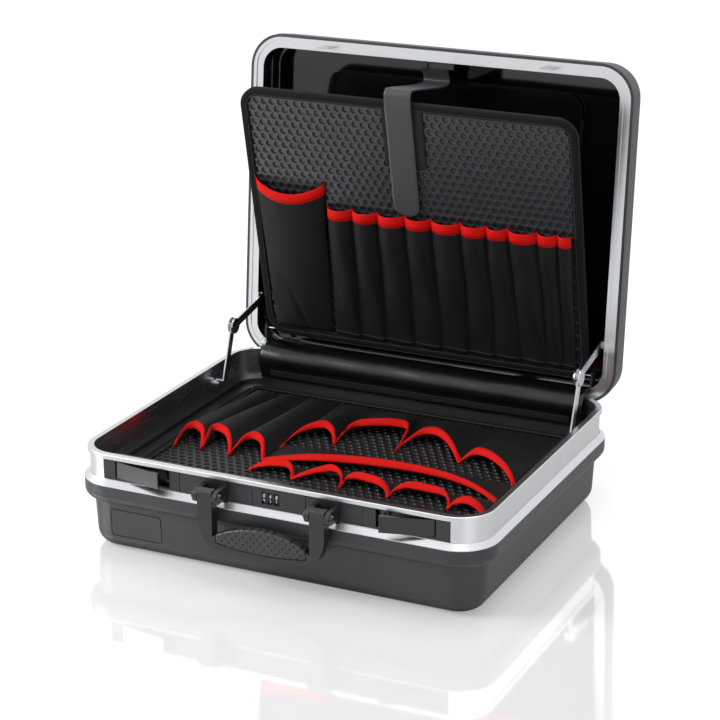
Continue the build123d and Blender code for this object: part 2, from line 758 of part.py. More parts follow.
# ---- tongues under the ring that the bolts hold, with two small plates by the strap ----
with BuildPart() as lid_strikes:
    tongue_height = tongue_y + case_depth / 2            # from the front edge of the shut lid
    tongue_row = case_depth / 2 - tongue_height
    for side in (-1, 1):
        with BuildSketch(lid_face):
            with Locations((side * tongue_x, tongue_row)):
                Rectangle(tongue_width, tongue_thickness)
        extrude(amount=tongue_length)
        notch_low = rim_z + lid_gap - bolt_arm_high - 0.8
        notch_high = rim_z + lid_gap - bolt_arm_low + 0.8
        with BuildSketch(lid_face.offset(notch_low)):
            with Locations((side * (tongue_x - tongue_width / 2 + 1), tongue_row)):
                Rectangle(6, 2 * tongue_thickness)
        extrude(amount=notch_high - notch_low, mode=Mode.SUBTRACT)
finish(lid_strikes, "lid_strikes")

# ================= hinges =================
knuckle_pitch = hinge_length / knuckle_count
leaf_thickness = knuckle_radius
leaf_edge = 6.0              # from the leaf's far edge to its rivets
rivet_spacing = 40.0
rivet_radius = 1.6
rivet_head = 3.0
# each leaf's plane: X along the pin, Y outward through the leaf, Z away from the pin
down_leaf = Plane(origin=(0, hinge_y, hinge_z), x_dir=(-1, 0, 0), z_dir=(0, 0, -1))
back_leaf = Plane(origin=(0, hinge_y, hinge_z), x_dir=(1, 0, 0), z_dir=(0, up_z, -up_y))


def make_leaves(stand, own, reach):
    """Both hinges' leaves of one half: knuckles on the pin, each with a tab to a full-width plate."""
    with BuildPart() as leaves:
        with Locations(stand):
            for side in (-1, 1):
                for index in range(own, knuckle_count, 2):
                    middle = side * hinge_x + (index - (knuckle_count - 1) / 2) * knuckle_pitch
                    with Locations((middle, 0, 0)):
                        Cylinder(knuckle_radius, knuckle_pitch - knuckle_slit, rotation=(0, 90, 0))
                        Box(
                            knuckle_pitch - knuckle_slit, leaf_thickness, leaf_root,
                            align=(Align.CENTER, Align.MIN, Align.MIN),
                        )
                with Locations((side * hinge_x, 0, leaf_root)):
                    Box(
                        hinge_length, leaf_thickness, reach - leaf_root,
                        align=(Align.CENTER, Align.MIN, Align.MIN),
                    )
                with Locations((side * hinge_x, 0, 0)):
                    Cylinder(
                        hinge_pin_radius + pin_play, hinge_length + 2, rotation=(0, 90, 0),
                        mode=Mode.SUBTRACT,
                    )
                with Locations((side * hinge_x, leaf_thickness / 2, reach - leaf_edge)):
                    with GridLocations(rivet_spacing, 1, 3, 1):
                        Cylinder(
                            rivet_radius + pin_play, 2 * leaf_thickness, rotation=(90, 0, 0),
                            mode=Mode.SUBTRACT,
                        )
    return leaves


def make_rivets(stand, reach):
    """The rivets of both hinges' leaves: a shank in the leaf and a low head outside."""
    with BuildPart() as rivets:
        with Locations(stand):
            for side in (-1, 1):
                with Locations((side * hinge_x, 0, reach - leaf_edge)):
                    with GridLocations(rivet_spacing, 1, 3, 1):
                        Cylinder(
                            rivet_radius, leaf_thickness, rotation=(90, 0, 0),
                            align=(Align.CENTER, Align.CENTER, Align.MAX),
                        )
                with Locations((side * hinge_x, leaf_thickness, reach - leaf_edge)):
                    with GridLocations(rivet_spacing, 1, 3, 1):
                        Cylinder(
                            rivet_head, 1.0, rotation=(90, 0, 0),
                            align=(Align.CENTER, Align.CENTER, Align.MAX),
                        )
    return rivets


base_hinge_leaves = make_leaves(down_leaf, 0, leaf_reach)
finish(base_hinge_leaves, "base_hinge_leaves")
base_hinge_rivets = make_rivets(down_leaf, leaf_reach)
finish(base_hinge_rivets, "base_hinge_rivets")
lid_hinge_leaves = make_leaves(back_leaf, 1, lid_leaf_reach)
finish(lid_hinge_leaves, "lid_hinge_leaves")
lid_hinge_rivets = make_rivets(back_leaf, lid_leaf_reach)
finish(lid_hinge_rivets, "lid_hinge_rivets")

with BuildPart() as hinge_pins:
    for side in (-1, 1):
        with Locations((side * hinge_x, hinge_y, hinge_z)):
            Cylinder(hinge_pin_radius, hinge_length, rotation=(0, 90, 0))
finish(hinge_pins, "hinge_pins")

# ================= stays =================
def make_link(cranked, plain, face_x, outward):
    """A strip between two pivots. Its cranked end steps out to the wall, its plain end stays put."""
    run_y = plain[0] - cranked[0]
    run_z = plain[1] - cranked[1]
    span = (run_y**2 + run_z**2) ** 0.5
    along = (0, run_y / span, run_z / span)
    edge_view = Plane(origin=(0, *cranked), x_dir=along, z_dir=(0, run_z / span, -run_y / span))
    face_view = Plane(origin=(0, *cranked), x_dir=along, z_dir=(1, 0, 0))
    sign = outward * (1 if edge_view.y_dir.X > 0 else -1)
    inner = sign * (face_x - stay_thickness)
    outer = sign * face_x
    anchor_inner = sign * (stay_anchor - stay_thickness)
    anchor_outer = sign * stay_anchor
    half = stay_width / 2
    with BuildPart() as link:
        with BuildSketch(edge_view):
            with BuildLine():
                Polyline(
                    (-half, anchor_inner), (crank_start, anchor_inner), (crank_start, inner),
                    (span + half, inner), (span + half, outer), (crank_start + stay_thickness, outer),
                    (crank_start + stay_thickness, anchor_outer), (-half, anchor_outer), close=True,
                )
            make_face()
        extrude(amount=half, both=True)
        with BuildSketch(face_view):
            with Locations((span / 2, 0)):
                SlotCenterToCenter(span, stay_width - 0.1)
        extrude(amount=case_width / 2, both=True, mode=Mode.INTERSECT)
        with BuildSketch(face_view):
            Circle(stay_pin_radius + pin_play)
            with Locations((span, 0)):
                Circle(stay_pin_radius + pin_play)
        extrude(amount=case_width / 2, both=True, mode=Mode.SUBTRACT)
    return link


base_pivot = (stay_base_y, stay_base_z)
elbow = (elbow_y, elbow_z)
lid_pivot = (stay_lid_y, stay_lid_z)
upper_face = stay_plane - stay_thickness - fit_gap
for place, outward in (("left", -1), ("right", 1)):
    lower_link = make_link(base_pivot, elbow, stay_plane, outward)
    finish(lower_link, f"{place}_lower_link")
    upper_link = make_link(lid_pivot, elbow, upper_face, outward)
    finish(upper_link, f"{place}_upper_link")
    with BuildPart() as elbow_rivet:
        disc_in = outward * (upper_face - stay_thickness - side_play)
        disc_out = outward * (stay_plane + side_play)
        with BuildSketch(Plane.YZ.offset(disc_in)):
            with Locations(elbow):
                Circle(stay_pin_radius)
        extrude(amount=disc_out - disc_in)
        for end, way in ((disc_in, -outward), (disc_out, outward)):
            with BuildSketch(Plane.YZ.offset(end)):
                with Locations(elbow):
                    Circle(elbow_radius)
            extrude(amount=way * elbow_disc, taper=20)
    finish(elbow_rivet, f"{place}_elbow_rivet")


def make_anchor_pins(pivot, wall_x, boss_x):
    """A pin a side: a head inside, the shank through the strip's end, and a boss that stands it off."""
    with BuildPart() as pins:
        for outward in (-1, 1):
            head = outward * (stay_anchor - stay_thickness - side_play)
            shoulder_x = outward * (stay_anchor + side_play)
            with BuildSketch(Plane.YZ.offset(head)):
                with Locations(pivot):
                    Circle(stay_pin_radius)
            extrude(amount=outward * wall_x - head)
            with BuildSketch(Plane.YZ.offset(head)):
                with Locations(pivot):
                    Circle(crank_start - side_play)
            extrude(amount=-outward * anchor_head, taper=20)
            with BuildSketch(Plane.YZ.offset(shoulder_x)):
                with Locations(pivot):
                    Circle(2.2 * stay_pin_radius)
            extrude(amount=outward * boss_x - shoulder_x)
    return pins


base_stay_pins = make_anchor_pins(base_pivot, case_width / 2, case_width / 2 - frame_wall)
finish(base_stay_pins, "base_stay_pins")
lid_stay_pins = make_anchor_pins(
    lid_pivot, case_width / 2 - lid_frame_wall, case_width / 2 - liner_inset - liner_wall - fit_gap
)
finish(lid_stay_pins, "lid_stay_pins")

# ================= tool board in the lid =================
# The board leans out of the lid. Its plane: X along the case, Y up the board, Z out of its face.
board_width = case_width - 59.0
board_height = case_depth - 62.0
board_radius = 24.0
board_lean = 17.0            # from the lid's own plane
board_foot_height = 26.0     # its lower edge, up the lid
board_foot_back = 2.0        # and behind the ring's face
board_thickness = 5.0
board_pivot_up = 4.0
edge_binding = 1.2           # leather tape round the edge
binding_width = 9.0

foot_y, foot_z = lid_point(board_foot_height, -board_foot_back)
board_tilt = radians(board_lean - lean)        # from upright, forward
board_up = (0, -sin(board_tilt), cos(board_tilt))
board_out = (0, -cos(board_tilt), -sin(board_tilt))
board_face = Plane(origin=(0, foot_y, foot_z), x_dir=(1, 0, 0), z_dir=board_out)
pivot_y = foot_y + board_pivot_up * board_up[1] - board_thickness / 2 * board_out[1]
pivot_z = foot_z + board_pivot_up * board_up[2] - board_thickness / 2 * board_out[2]

with BuildPart() as lid_board:
    with BuildSketch(board_face):
        with Locations((0, board_height / 2)):
            RectangleRounded(board_width - 2 * edge_binding, board_height - 2 * edge_binding, board_radius)
    extrude(amount=-board_thickness)
    with BuildSketch(Plane.YZ):
        with Locations((pivot_y, pivot_z)):
            Circle(board_pin_radius + pin_play)
    extrude(amount=board_width, both=True, mode=Mode.SUBTRACT)
    with BuildPart(mode=Mode.PRIVATE) as solid_middle:
        with BuildSketch(Plane.YZ):
            with Locations((pivot_y, pivot_z)):
                Circle(board_pin_radius + pin_play)
        extrude(amount=board_width / 2 - board_pin_grip, both=True)
    add(solid_middle.part)
finish(lid_board, "lid_board")

with BuildPart() as lid_board_edging:
    with BuildSketch(board_face.offset(0.1)):
        with Locations((0, board_height / 2)):
            RectangleRounded(board_width, board_height, board_radius + edge_binding)
            RectangleRounded(
                board_width - 2 * binding_width, board_height - 2 * binding_width,
                board_radius + edge_binding - binding_width, mode=Mode.SUBTRACT,
            )
    extrude(amount=edge_binding)
    with BuildSketch(board_face.offset(0.1)):
        with Locations((0, board_height / 2)):
            RectangleRounded(board_width, board_height, board_radius + edge_binding)
            RectangleRounded(
                board_width - 2 * edge_binding + 0.2, board_height - 2 * edge_binding + 0.2,
                board_radius + 0.1, mode=Mode.SUBTRACT,
            )
    extrude(amount=-(board_thickness + 0.1))
    # the pins pass the edging at the lower corners
    with BuildSketch(Plane.YZ):
        with Locations((pivot_y, pivot_z)):
            Circle(board_pin_radius + fit_gap)
    extrude(amount=board_width, both=True, mode=Mode.SUBTRACT)
finish(lid_board_edging, "lid_board_edging")

# ---- brackets inside the lid that carry the board's pins ----
bracket_x = board_width / 2 + 2.5
bracket_width = 2.0
bracket_head = 4.5
with BuildPart() as lid_board_brackets:
    tab_low = corner_rise(bracket_x + bracket_width, liner_inset + liner_wall) + fit_gap
    tab_back = 12.0
    ring_edge = corner_rise(bracket_x + bracket_width, lid_ring) + fit_gap
    pivot_height = (pivot_y - lid_y) * up_y + (pivot_z - lid_z) * up_z
    pivot_forward = -(pivot_y - lid_y) * up_z + (pivot_z - lid_z) * up_y
    tab_outline = (
        (tab_low, -tab_back), (tab_low, -lid_ring_skin - fit_gap), (ring_edge, -lid_ring_skin - fit_gap),
        (ring_edge, pivot_forward + bracket_head), (pivot_height + bracket_head, pivot_forward + bracket_head),
        (pivot_height + bracket_head, -tab_back),
    )
    for side in (-1, 1):
        with BuildSketch(Plane.YZ.offset(side * bracket_x)):
            with BuildLine():
                Polyline(*[lid_point(height, forward) for height, forward in tab_outline], close=True)
            make_face()
            with Locations((pivot_y, pivot_z)):
                Circle(board_pin_radius + pin_fit, mode=Mode.SUBTRACT)
        extrude(amount=side * bracket_width)
finish(lid_board_brackets, "lid_board_brackets")

with BuildPart() as lid_board_pins:
    for side in (-1, 1):
        with BuildSketch(Plane.YZ.offset(side * (board_width / 2 - board_pin_grip + 0.5))):
            with Locations((pivot_y, pivot_z)):
                Circle(board_pin_radius)
        extrude(amount=side * (board_pin_grip - 0.5 + bracket_x + bracket_width - board_width / 2))
finish(lid_board_pins, "lid_board_pins")


# ---- sewn pockets ----
cloth = 1.2                  # of the pockets' cloth with its binding
seam = 0.4                   # half the slit between neighbours


def make_pouch(stand, mouth, foot, length, mouth_rise, foot_rise):
    """An arched pouch, open at its mouth and closed at its foot.

    The stand plane is the mouth's: X across it, Y away from the board, Z out of the mouth.
    """
    with BuildPart() as pouch:
        for near, far, inside, start, reach, mode in (
            (mouth, foot, 0.0, 0.0, length, Mode.ADD),
            (mouth, foot, cloth, -0.5, length - 2 * cloth, Mode.SUBTRACT),
        ):
            for (low, high), rise, depth in ((near, mouth_rise, start), (far, foot_rise, reach)):
                way = 1 if rise > 0 else -1
                floor_level = way * (fit_gap + inside / 2)
                with BuildSketch(stand.offset(-depth)):
                    with BuildLine():
                        arch = ThreePointArc(
                            (low + seam + inside, floor_level), ((low + high) / 2, rise - way * inside),
                            (high - seam - inside, floor_level),
                        )
                        Line(arch @ 0, arch @ 1)
                    make_face()
            loft(mode=mode)
    return pouch


pocket_mouth = 186.0         # up the board
pocket_foot = 14.0
pocket_rise = 10.0
pocket_foot_rise = 3.2
binding_height = 9.0
small_mouths = (-109, -76.5, -43.5, -8.5, 25, 62, 94, 121, 156.5, 181.5, 199)
small_feet = (-115, -81.5, -48, -11, 24.5, 59.5, 93, 126, 158.5, 177.5, 195.5)
large_mouth = (-201.0, -110.0)
large_foot = (-197.0, -119.0)
large_pocket_mouth = 205.0
large_pocket_rise = 12.0


def pocket_plane(height):
    """The mouth plane of a pocket so far up the lid's board."""
    return Plane(
        origin=board_face.origin + board_face.y_dir * height, x_dir=(1, 0, 0), z_dir=board_up
    )


def split_pouch(pouch, cut):
    """The cloth behind a cutting plane and the binding before it."""
    with BuildPart() as body:
        add(pouch.part)
        split(bisect_by=cut, keep=Keep.BOTTOM)
    with BuildPart() as binding:
        add(pouch.part)
        split(bisect_by=cut, keep=Keep.TOP)
    return body, binding


large_pouch = make_pouch(
    pocket_plane(large_pocket_mouth), large_mouth, large_foot, large_pocket_mouth - pocket_foot,
    -large_pocket_rise, -pocket_foot_rise,
)
large_body, large_binding = split_pouch(large_pouch, pocket_plane(large_pocket_mouth - binding_height))
large_body.part.label = "lid_large_pocket"
export_step(large_body.part, "parts/lid_large_pocket.step")

lid_bindings = [large_binding.part]
lid_pouches = []
for index in range(len(small_mouths) - 1):
    pouch = make_pouch(
        pocket_plane(pocket_mouth), small_mouths[index:index + 2], small_feet[index:index + 2],
        pocket_mouth - pocket_foot, -pocket_rise, -pocket_foot_rise,
    )
    body, binding = split_pouch(pouch, pocket_plane(pocket_mouth - binding_height))
    lid_pouches.append(body.part)
    lid_bindings.append(binding.part)
with BuildPart() as lid_small_pockets:
    add(lid_pouches)
finish(lid_small_pockets, "lid_small_pockets")
with BuildPart() as lid_pocket_bindings:
    add(lid_bindings)
finish(lid_pocket_bindings, "lid_pocket_bindings")

# ---- strap: its patch and its front run lie on the board, a free span leads to the lid ----
strap_x = -4.5
strap_width = 33.0
strap_thickness = 1.8
strap_end = pocket_mouth + 1.0
strap_over = 6.0             # beyond the board's upper edge
patch_width = 52.0
patch_low = 250.0
patch_high = 320.0
patch_thickness = 1.0
with BuildPart() as strap_patch:
    with BuildSketch(board_face.offset(fit_gap)):
        with Locations((strap_x, (patch_low + patch_high) / 2)):
            Rectangle(patch_width, patch_high - patch_low)
    extrude(amount=patch_thickness)
finish(strap_patch, "strap_patch")

strap_level = 2 * fit_gap + patch_thickness
with BuildPart() as lid_strap:
    strap_length = board_height + strap_over - strap_end
    with BuildSketch(board_face.offset(strap_level)):
        with Locations((strap_x, strap_end + strap_length / 2)):
            Rectangle(strap_width, strap_length)
    extrude(amount=strap_thickness)
    fillet(lid_strap.edges().filter_by(Axis(board_face.origin, board_out)).sort_by(Axis.Z)[:2], radius=15)
finish(lid_strap, "lid_strap")

clip_width = 16.0
clip_gap = 18.0
clip_thickness = 1.5
clip_low = case_depth - lid_ring - 8.0
clip_high = case_depth - liner_inset - liner_wall - fit_gap
with BuildPart() as strap_clips:
    with BuildSketch(lid_face.offset(-lid_ring_skin - fit_gap)):
        for side in (-1, 1):
            with Locations((strap_x + side * (clip_gap + clip_width) / 2,
                            (clip_low + clip_high - case_depth) / 2)):
                Rectangle(clip_width, clip_high - clip_low)
    extrude(amount=-clip_thickness)
finish(strap_clips, "strap_clips")


def board_point(height, out):
    """Y and Z of a place on the leaning board: so far up it, so far out of its face."""
    spot = board_face.origin + board_face.y_dir * height + board_face.z_dir * out
    return (spot.Y, spot.Z)


strap_back = lid_ring_skin + 2 * fit_gap + clip_thickness + strap_thickness / 2
with BuildPart() as strap_span:
    strap_front = strap_level + strap_thickness / 2
    with BuildSketch(Plane.YZ.offset(strap_x - strap_width / 2)):
        with BuildLine():
            FilletPolyline(
                board_point(board_height + strap_over + 0.1, strap_front),
                board_point(board_height + strap_over + 8, strap_front),
                board_point(board_height + strap_over + 6, strap_front - 9),
                lid_point(clip_low - 5, -strap_back),
                lid_point(clip_high - 1, -strap_back),
                radius=3.5,
            )
        trace(line_width=strap_thickness)
    extrude(amount=strap_width)
finish(strap_span, "strap_span")

# ================= hinge cover: a cloth apron over the gap between the halves =================
cover_width = 424.0
cover_thickness = 1.2
cover_foot_y = case_depth / 2 - corner_rise(cover_width / 2, frame_wall) - cover_thickness
cover_lid_height = corner_rise(cover_width / 2, lid_ring) + cover_thickness
cover_belly = 8.0
with BuildPart() as hinge_cover:
    with BuildSketch(Plane.YZ.offset(-cover_width / 2)):
        with BuildLine():
            FilletPolyline(
                (cover_foot_y, ledge_top + 0.8),
                (cover_foot_y - cover_belly * 0.55, 92),
                (cover_foot_y - cover_belly, 104),
                (cover_foot_y - cover_belly * 0.7, rim_z + 1),
                lid_point(cover_lid_height, 4.5),
                lid_point(cover_lid_height, -2.5),
                radius=2.5,
            )
        trace(line_width=cover_thickness)
    extrude(amount=cover_width)
finish(hinge_cover, "hinge_cover")

# ================= tool board in the base =================
with BuildPart() as base_board:
    with BuildSketch(Plane.XY.offset(tray_low)):
        with Locations((0, tray_mid_y)):
            RectangleRounded(tray_width, tray_length, tray_radius)
    extrude(amount=tray_thickness)
    # the back edge is rounded about the pins
    back_strip = base_board.faces().sort_by(Axis.Y)[-1]
    fillet(back_strip.edges().filter_by(Axis.X), radius=tray_thickness / 2 - 0.01)
    with BuildPart(mode=Mode.PRIVATE) as pin_bores:
        for side in (-1, 1):
            with BuildSketch(Plane.YZ.offset(side * (tray_width / 2 - board_pin_grip))):
                with Locations((tray_pivot_y, tray_pivot_z)):
                    Circle(board_pin_radius + pin_play)
            extrude(amount=side * board_pin_grip * 2)
    add(pin_bores.part, mode=Mode.SUBTRACT)
finish(base_board, "base_board")

with BuildPart() as base_board_edging:
    with BuildSketch(Plane.XY.offset(tray_top + 0.1)):
        with Locations((0, tray_mid_y)):
            RectangleRounded(tray_width - 1, tray_length - 1, tray_radius - 0.5)
            RectangleRounded(
                tray_width - 2 * binding_width, tray_length - 2 * binding_width,
                tray_radius - binding_width, mode=Mode.SUBTRACT,
            )
    extrude(amount=edge_binding)
finish(base_board_edging, "base_board_edging")



def mouth_plane(y):
    """A pocket's mouth on the base's board, facing the front."""
    return Plane(origin=(0, y, tray_top), x_dir=(1, 0, 0), z_dir=(0, -1, 0))


def leaning_cut(y, rise, slope, back):
    """A plane through the mouth's foot that leans back as it rises, set back along its own normal."""
    tilt = atan2(slope, rise)
    normal = (0, -cos(tilt), sin(tilt))
    return Plane(origin=(0, y, tray_top), x_dir=(1, 0, 0), z_dir=normal).offset(-back)


# across, mouth's foot, length, rise at mouth and foot, how far the mouth leans back
left_pouches = (((-197, -163), 36), ((-163, -127), 40), ((-127, -85), 38))
left_mouth_y = tray_mid_y - 58.0
left_length = tray_back - 18.5 - left_mouth_y
rear_pouches = (
    ((-84, -33), -6.0, 46),
    ((-33, 39), 26.0, 48),
    ((39, 120), 30.0, 46),
    ((120, 200.5), 8.0, 34),
)
rear_end = tray_back - 16.5
front_pouches = ((-84, -29), (-29, 30), (30, 89), (89, 161), (161, 200.5))
front_mouth_y = -93.0
front_length = 34.0
middle_span = (-84.0, 200.5)
middle_mouth_y = -56.0
middle_length = 46.0
tray_rise = 20.0
tray_foot_rise = 4.0

tray_bindings = []


def make_tray_pockets(label, rows):
    """Pouches of one row, each cut back to its leaning mouth; their bindings go to one list."""
    bodies = []
    for span, mouth_y, length, rise, foot_rise, slope in rows:
        pouch = make_pouch(mouth_plane(mouth_y), span, span, length, rise, foot_rise)
        with BuildPart() as trimmed:
            add(pouch.part)
            split(bisect_by=leaning_cut(mouth_y, rise, slope, 0), keep=Keep.BOTTOM)
        body, binding = split_pouch(trimmed, leaning_cut(mouth_y, rise, slope, binding_height / 2))
        bodies.append(body.part)
        tray_bindings.append(binding.part)
    with BuildPart() as row:
        add(bodies)
    finish(row, label)


make_tray_pockets(
    "base_left_pockets",
    [(span, left_mouth_y, left_length, tray_rise, tray_foot_rise, slope) for span, slope in left_pouches],
)
make_tray_pockets(
    "base_rear_pockets",
    [(span, y, rear_end - y, tray_rise, tray_foot_rise, slope) for span, y, slope in rear_pouches],
)
make_tray_pockets(
    "base_middle_pocket",
    [(middle_span, middle_mouth_y, middle_length, 16.0, 6.0, 16.0)],
)
make_tray_pockets(
    "base_front_pockets",
    [(span, front_mouth_y, front_length, 18.0, 8.0, 18.0) for span in front_pouches],
)
with BuildPart() as base_pocket_bindings:
    add(tray_bindings)
finish(base_pocket_bindings, "base_pocket_bindings")

with BuildPart() as base_board_pins:
    for side in (-1, 1):
        with BuildSketch(Plane.YZ.offset(side * (tray_width / 2 - board_pin_grip + 0.5))):
            with Locations((tray_pivot_y, tray_pivot_z)):
                Circle(board_pin_radius)
        extrude(amount=side * (board_pin_grip + 6))
finish(base_board_pins, "base_board_pins")
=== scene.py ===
import bmesh
import bpy
import numpy as np
from mathutils import Matrix, Vector


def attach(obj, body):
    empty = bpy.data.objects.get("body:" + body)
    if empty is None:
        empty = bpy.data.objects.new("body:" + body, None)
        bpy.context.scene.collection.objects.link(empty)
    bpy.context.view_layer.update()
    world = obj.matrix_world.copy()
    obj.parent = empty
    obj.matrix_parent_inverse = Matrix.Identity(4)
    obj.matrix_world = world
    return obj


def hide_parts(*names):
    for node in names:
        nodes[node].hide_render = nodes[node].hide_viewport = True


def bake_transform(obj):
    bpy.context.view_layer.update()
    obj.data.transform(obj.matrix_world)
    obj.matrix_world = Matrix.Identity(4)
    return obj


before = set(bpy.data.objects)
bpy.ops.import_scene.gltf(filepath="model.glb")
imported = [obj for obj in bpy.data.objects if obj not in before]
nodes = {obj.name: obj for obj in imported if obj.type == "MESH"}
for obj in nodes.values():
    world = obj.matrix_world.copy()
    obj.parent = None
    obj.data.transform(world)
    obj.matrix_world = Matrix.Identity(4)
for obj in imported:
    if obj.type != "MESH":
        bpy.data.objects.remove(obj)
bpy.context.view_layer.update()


# Base shell and lid shell. Two halves injection moulded from black ABS, with a fine leather-like
# grain from the mould, so they give a soft, broad sheen and no sharp reflection.
def linear(code):
    """sRGB hex to linear light: the dark end is a straight line and the rest a power of 2.4."""
    c = np.array([int(code[i:i + 2], 16) for i in (1, 3, 5)]) / 255
    return (*np.where(c <= 0.04045, c / 12.92, ((c + 0.055) / 1.055) ** 2.4), 1.0)


def new_material(name, colour, **sockets):
    """A material whose Principled shader has the colour and the constants on its own sockets."""
    material = bpy.data.materials.new(name)
    material.use_nodes = True
    shader = material.node_tree.nodes["Principled BSDF"]
    shader.inputs["Base Color"].default_value = linear(colour)
    for socket, value in sockets.items():
        shader.inputs[socket.replace("_", " ")].default_value = value
    return material


def add(material, kind, inputs, **settings):
    """Adds a node, sets its properties, and links or sets its inputs."""
    node = material.node_tree.nodes.new(kind)
    for name, value in settings.items():
        setattr(node, name, value)
    for name, value in inputs.items():
        if isinstance(value, bpy.types.NodeSocket):
            material.node_tree.links.new(value, node.inputs[name])
        else:
            node.inputs[name].default_value = value
    return node


def join(material, socket, output):
    """Links an output to one of the Principled shader's sockets."""
    shader = material.node_tree.nodes["Principled BSDF"]
    material.node_tree.links.new(output, shader.inputs[socket])


def dress(material, *names):
    """Gives CAD nodes a material."""
    for name in names:
        mesh = nodes[name].data
        for i in range(len(mesh.materials)):
            mesh.materials[i] = material
        if not mesh.materials:
            mesh.materials.append(material)


abs_plastic = new_material("moulded_abs", "#303134", Roughness=0.42, IOR=1.53)
where = add(abs_plastic, "ShaderNodeTexCoord", {})
# the grain's pebbles are about 0.7 mm in the mould, drawn at 1.3 mm so that they show
pebbles = add(abs_plastic, "ShaderNodeTexVoronoi",
              {"Vector": where.outputs["Object"], "Scale": 1 / 0.0013})
cloud = add(abs_plastic, "ShaderNodeTexNoise",
            {"Vector": where.outputs["Object"], "Scale": 1 / 0.06, "Detail": 3.0})
tint = add(abs_plastic, "ShaderNodeMix", {"Factor": cloud.outputs["Fac"], 6: linear("#2b2c2f"),
                                          7: linear("#35363a")}, data_type="RGBA")
join(abs_plastic, "Base Color", tint.outputs[2])
relief = add(abs_plastic, "ShaderNodeBump",
             {"Height": pebbles.outputs["Distance"], "Strength": 0.55, "Distance": 0.0003})
join(abs_plastic, "Normal", relief.outputs["Normal"])
dress(abs_plastic, "base_shell", "lid_shell")


# Frames of the base and the lid, with the ring. Aluminium sections, bent round the corners, brushed
# along their length and clear anodised: a bright satin metal with fine lines round the case.
aluminium = new_material("brushed_aluminium", "#d4d6d9", Metallic=1.0, Roughness=0.27,
                         Anisotropic=0.55)
where = add(aluminium, "ShaderNodeTexCoord", {})
# brush lines 0.15 mm apart, drawn about 0.8 mm apart, and some 60 mm long
stretch = add(aluminium, "ShaderNodeMapping",
              {"Vector": where.outputs["Object"], "Scale": (16.0, 16.0, 1200.0)})
lines = add(aluminium, "ShaderNodeTexNoise", {"Vector": stretch.outputs["Vector"], "Scale": 1.0,
                                              "Detail": 2.0})
relief = add(aluminium, "ShaderNodeBump",
             {"Height": lines.outputs["Fac"], "Strength": 0.1, "Distance": 0.0001})
join(aluminium, "Normal", relief.outputs["Normal"])
spread = add(aluminium, "ShaderNodeMapRange",
             {"Value": lines.outputs["Fac"], "To Min": 0.22, "To Max": 0.3})
join(aluminium, "Roughness", spread.outputs["Result"])
around = add(aluminium, "ShaderNodeTangent", {}, direction_type="RADIAL", axis="Z")
join(aluminium, "Tangent", around.outputs["Tangent"])
dress(aluminium, "base_frame")

lid_aluminium = new_material("satin_aluminium", "#d9dbde", Metallic=1.0, Roughness=0.25)
where = add(lid_aluminium, "ShaderNodeTexCoord", {})
fine = add(lid_aluminium, "ShaderNodeTexNoise", {"Vector": where.outputs["Object"],
                                                 "Scale": 1 / 0.0008, "Detail": 1.0})
spread = add(lid_aluminium, "ShaderNodeMapRange",
             {"Value": fine.outputs["Fac"], "To Min": 0.2, "To Max": 0.28})
join(lid_aluminium, "Roughness", spread.outputs["Result"])
dress(lid_aluminium, "lid_frame")


# Ledge, lock housings and handle. Black moulded plastic with a satin face: polyamide is a little
# rougher than the ABS and shows a weak, even highlight.
polyamide = new_material("satin_polyamide", "#222326", Roughness=0.36, IOR=1.53)
where = add(polyamide, "ShaderNodeTexCoord", {})
fine = add(polyamide, "ShaderNodeTexNoise",
           {"Vector": where.outputs["Object"], "Scale": 1 / 0.0006, "Detail": 2.0})
relief = add(polyamide, "ShaderNodeBump",
             {"Height": fine.outputs["Fac"], "Strength": 0.12, "Distance": 0.0001})
join(polyamide, "Normal", relief.outputs["Normal"])
dress(polyamide, "base_ledge", "lock_housings", "handle_frame", "handle_brackets",
      "lid_board_brackets", "strap_clips")


# Plates in the front recess. Pressed plates painted dark grey with a matt, finely speckled paint.
grey_paint = new_material("matt_grey_paint", "#2c2d30", Roughness=0.48, IOR=1.5)
where = add(grey_paint, "ShaderNodeTexCoord", {})
speck = add(grey_paint, "ShaderNodeTexNoise",
            {"Vector": where.outputs["Object"], "Scale": 1 / 0.0009, "Detail": 2.0})
tint = add(grey_paint, "ShaderNodeMix", {"Factor": speck.outputs["Fac"], 6: linear("#26272a"),
                                         7: linear("#323337")}, data_type="RGBA")
join(grey_paint, "Base Color", tint.outputs[2])
dress(grey_paint, "latch_plates", "handle_plates", "code_plate")


# Latch levers and bolts. Die-cast zinc, lacquered black: smooth and glossy with rounded edges.
lacquer = new_material("black_lacquered_zinc", "#0d0d0e", Roughness=0.2, IOR=1.55,
                       Coat_Weight=0.3, Coat_Roughness=0.12)
where = add(lacquer, "ShaderNodeTexCoord", {})
ripple = add(lacquer, "ShaderNodeTexNoise",
             {"Vector": where.outputs["Object"], "Scale": 1 / 0.004, "Detail": 1.0})
relief = add(lacquer, "ShaderNodeBump",
             {"Height": ripple.outputs["Fac"], "Strength": 0.06, "Distance": 0.0002})
join(lacquer, "Normal", relief.outputs["Normal"])
dress(lacquer, "left_latch_lever", "right_latch_lever", "left_latch_bolt", "right_latch_bolt",
      "handle_pins")


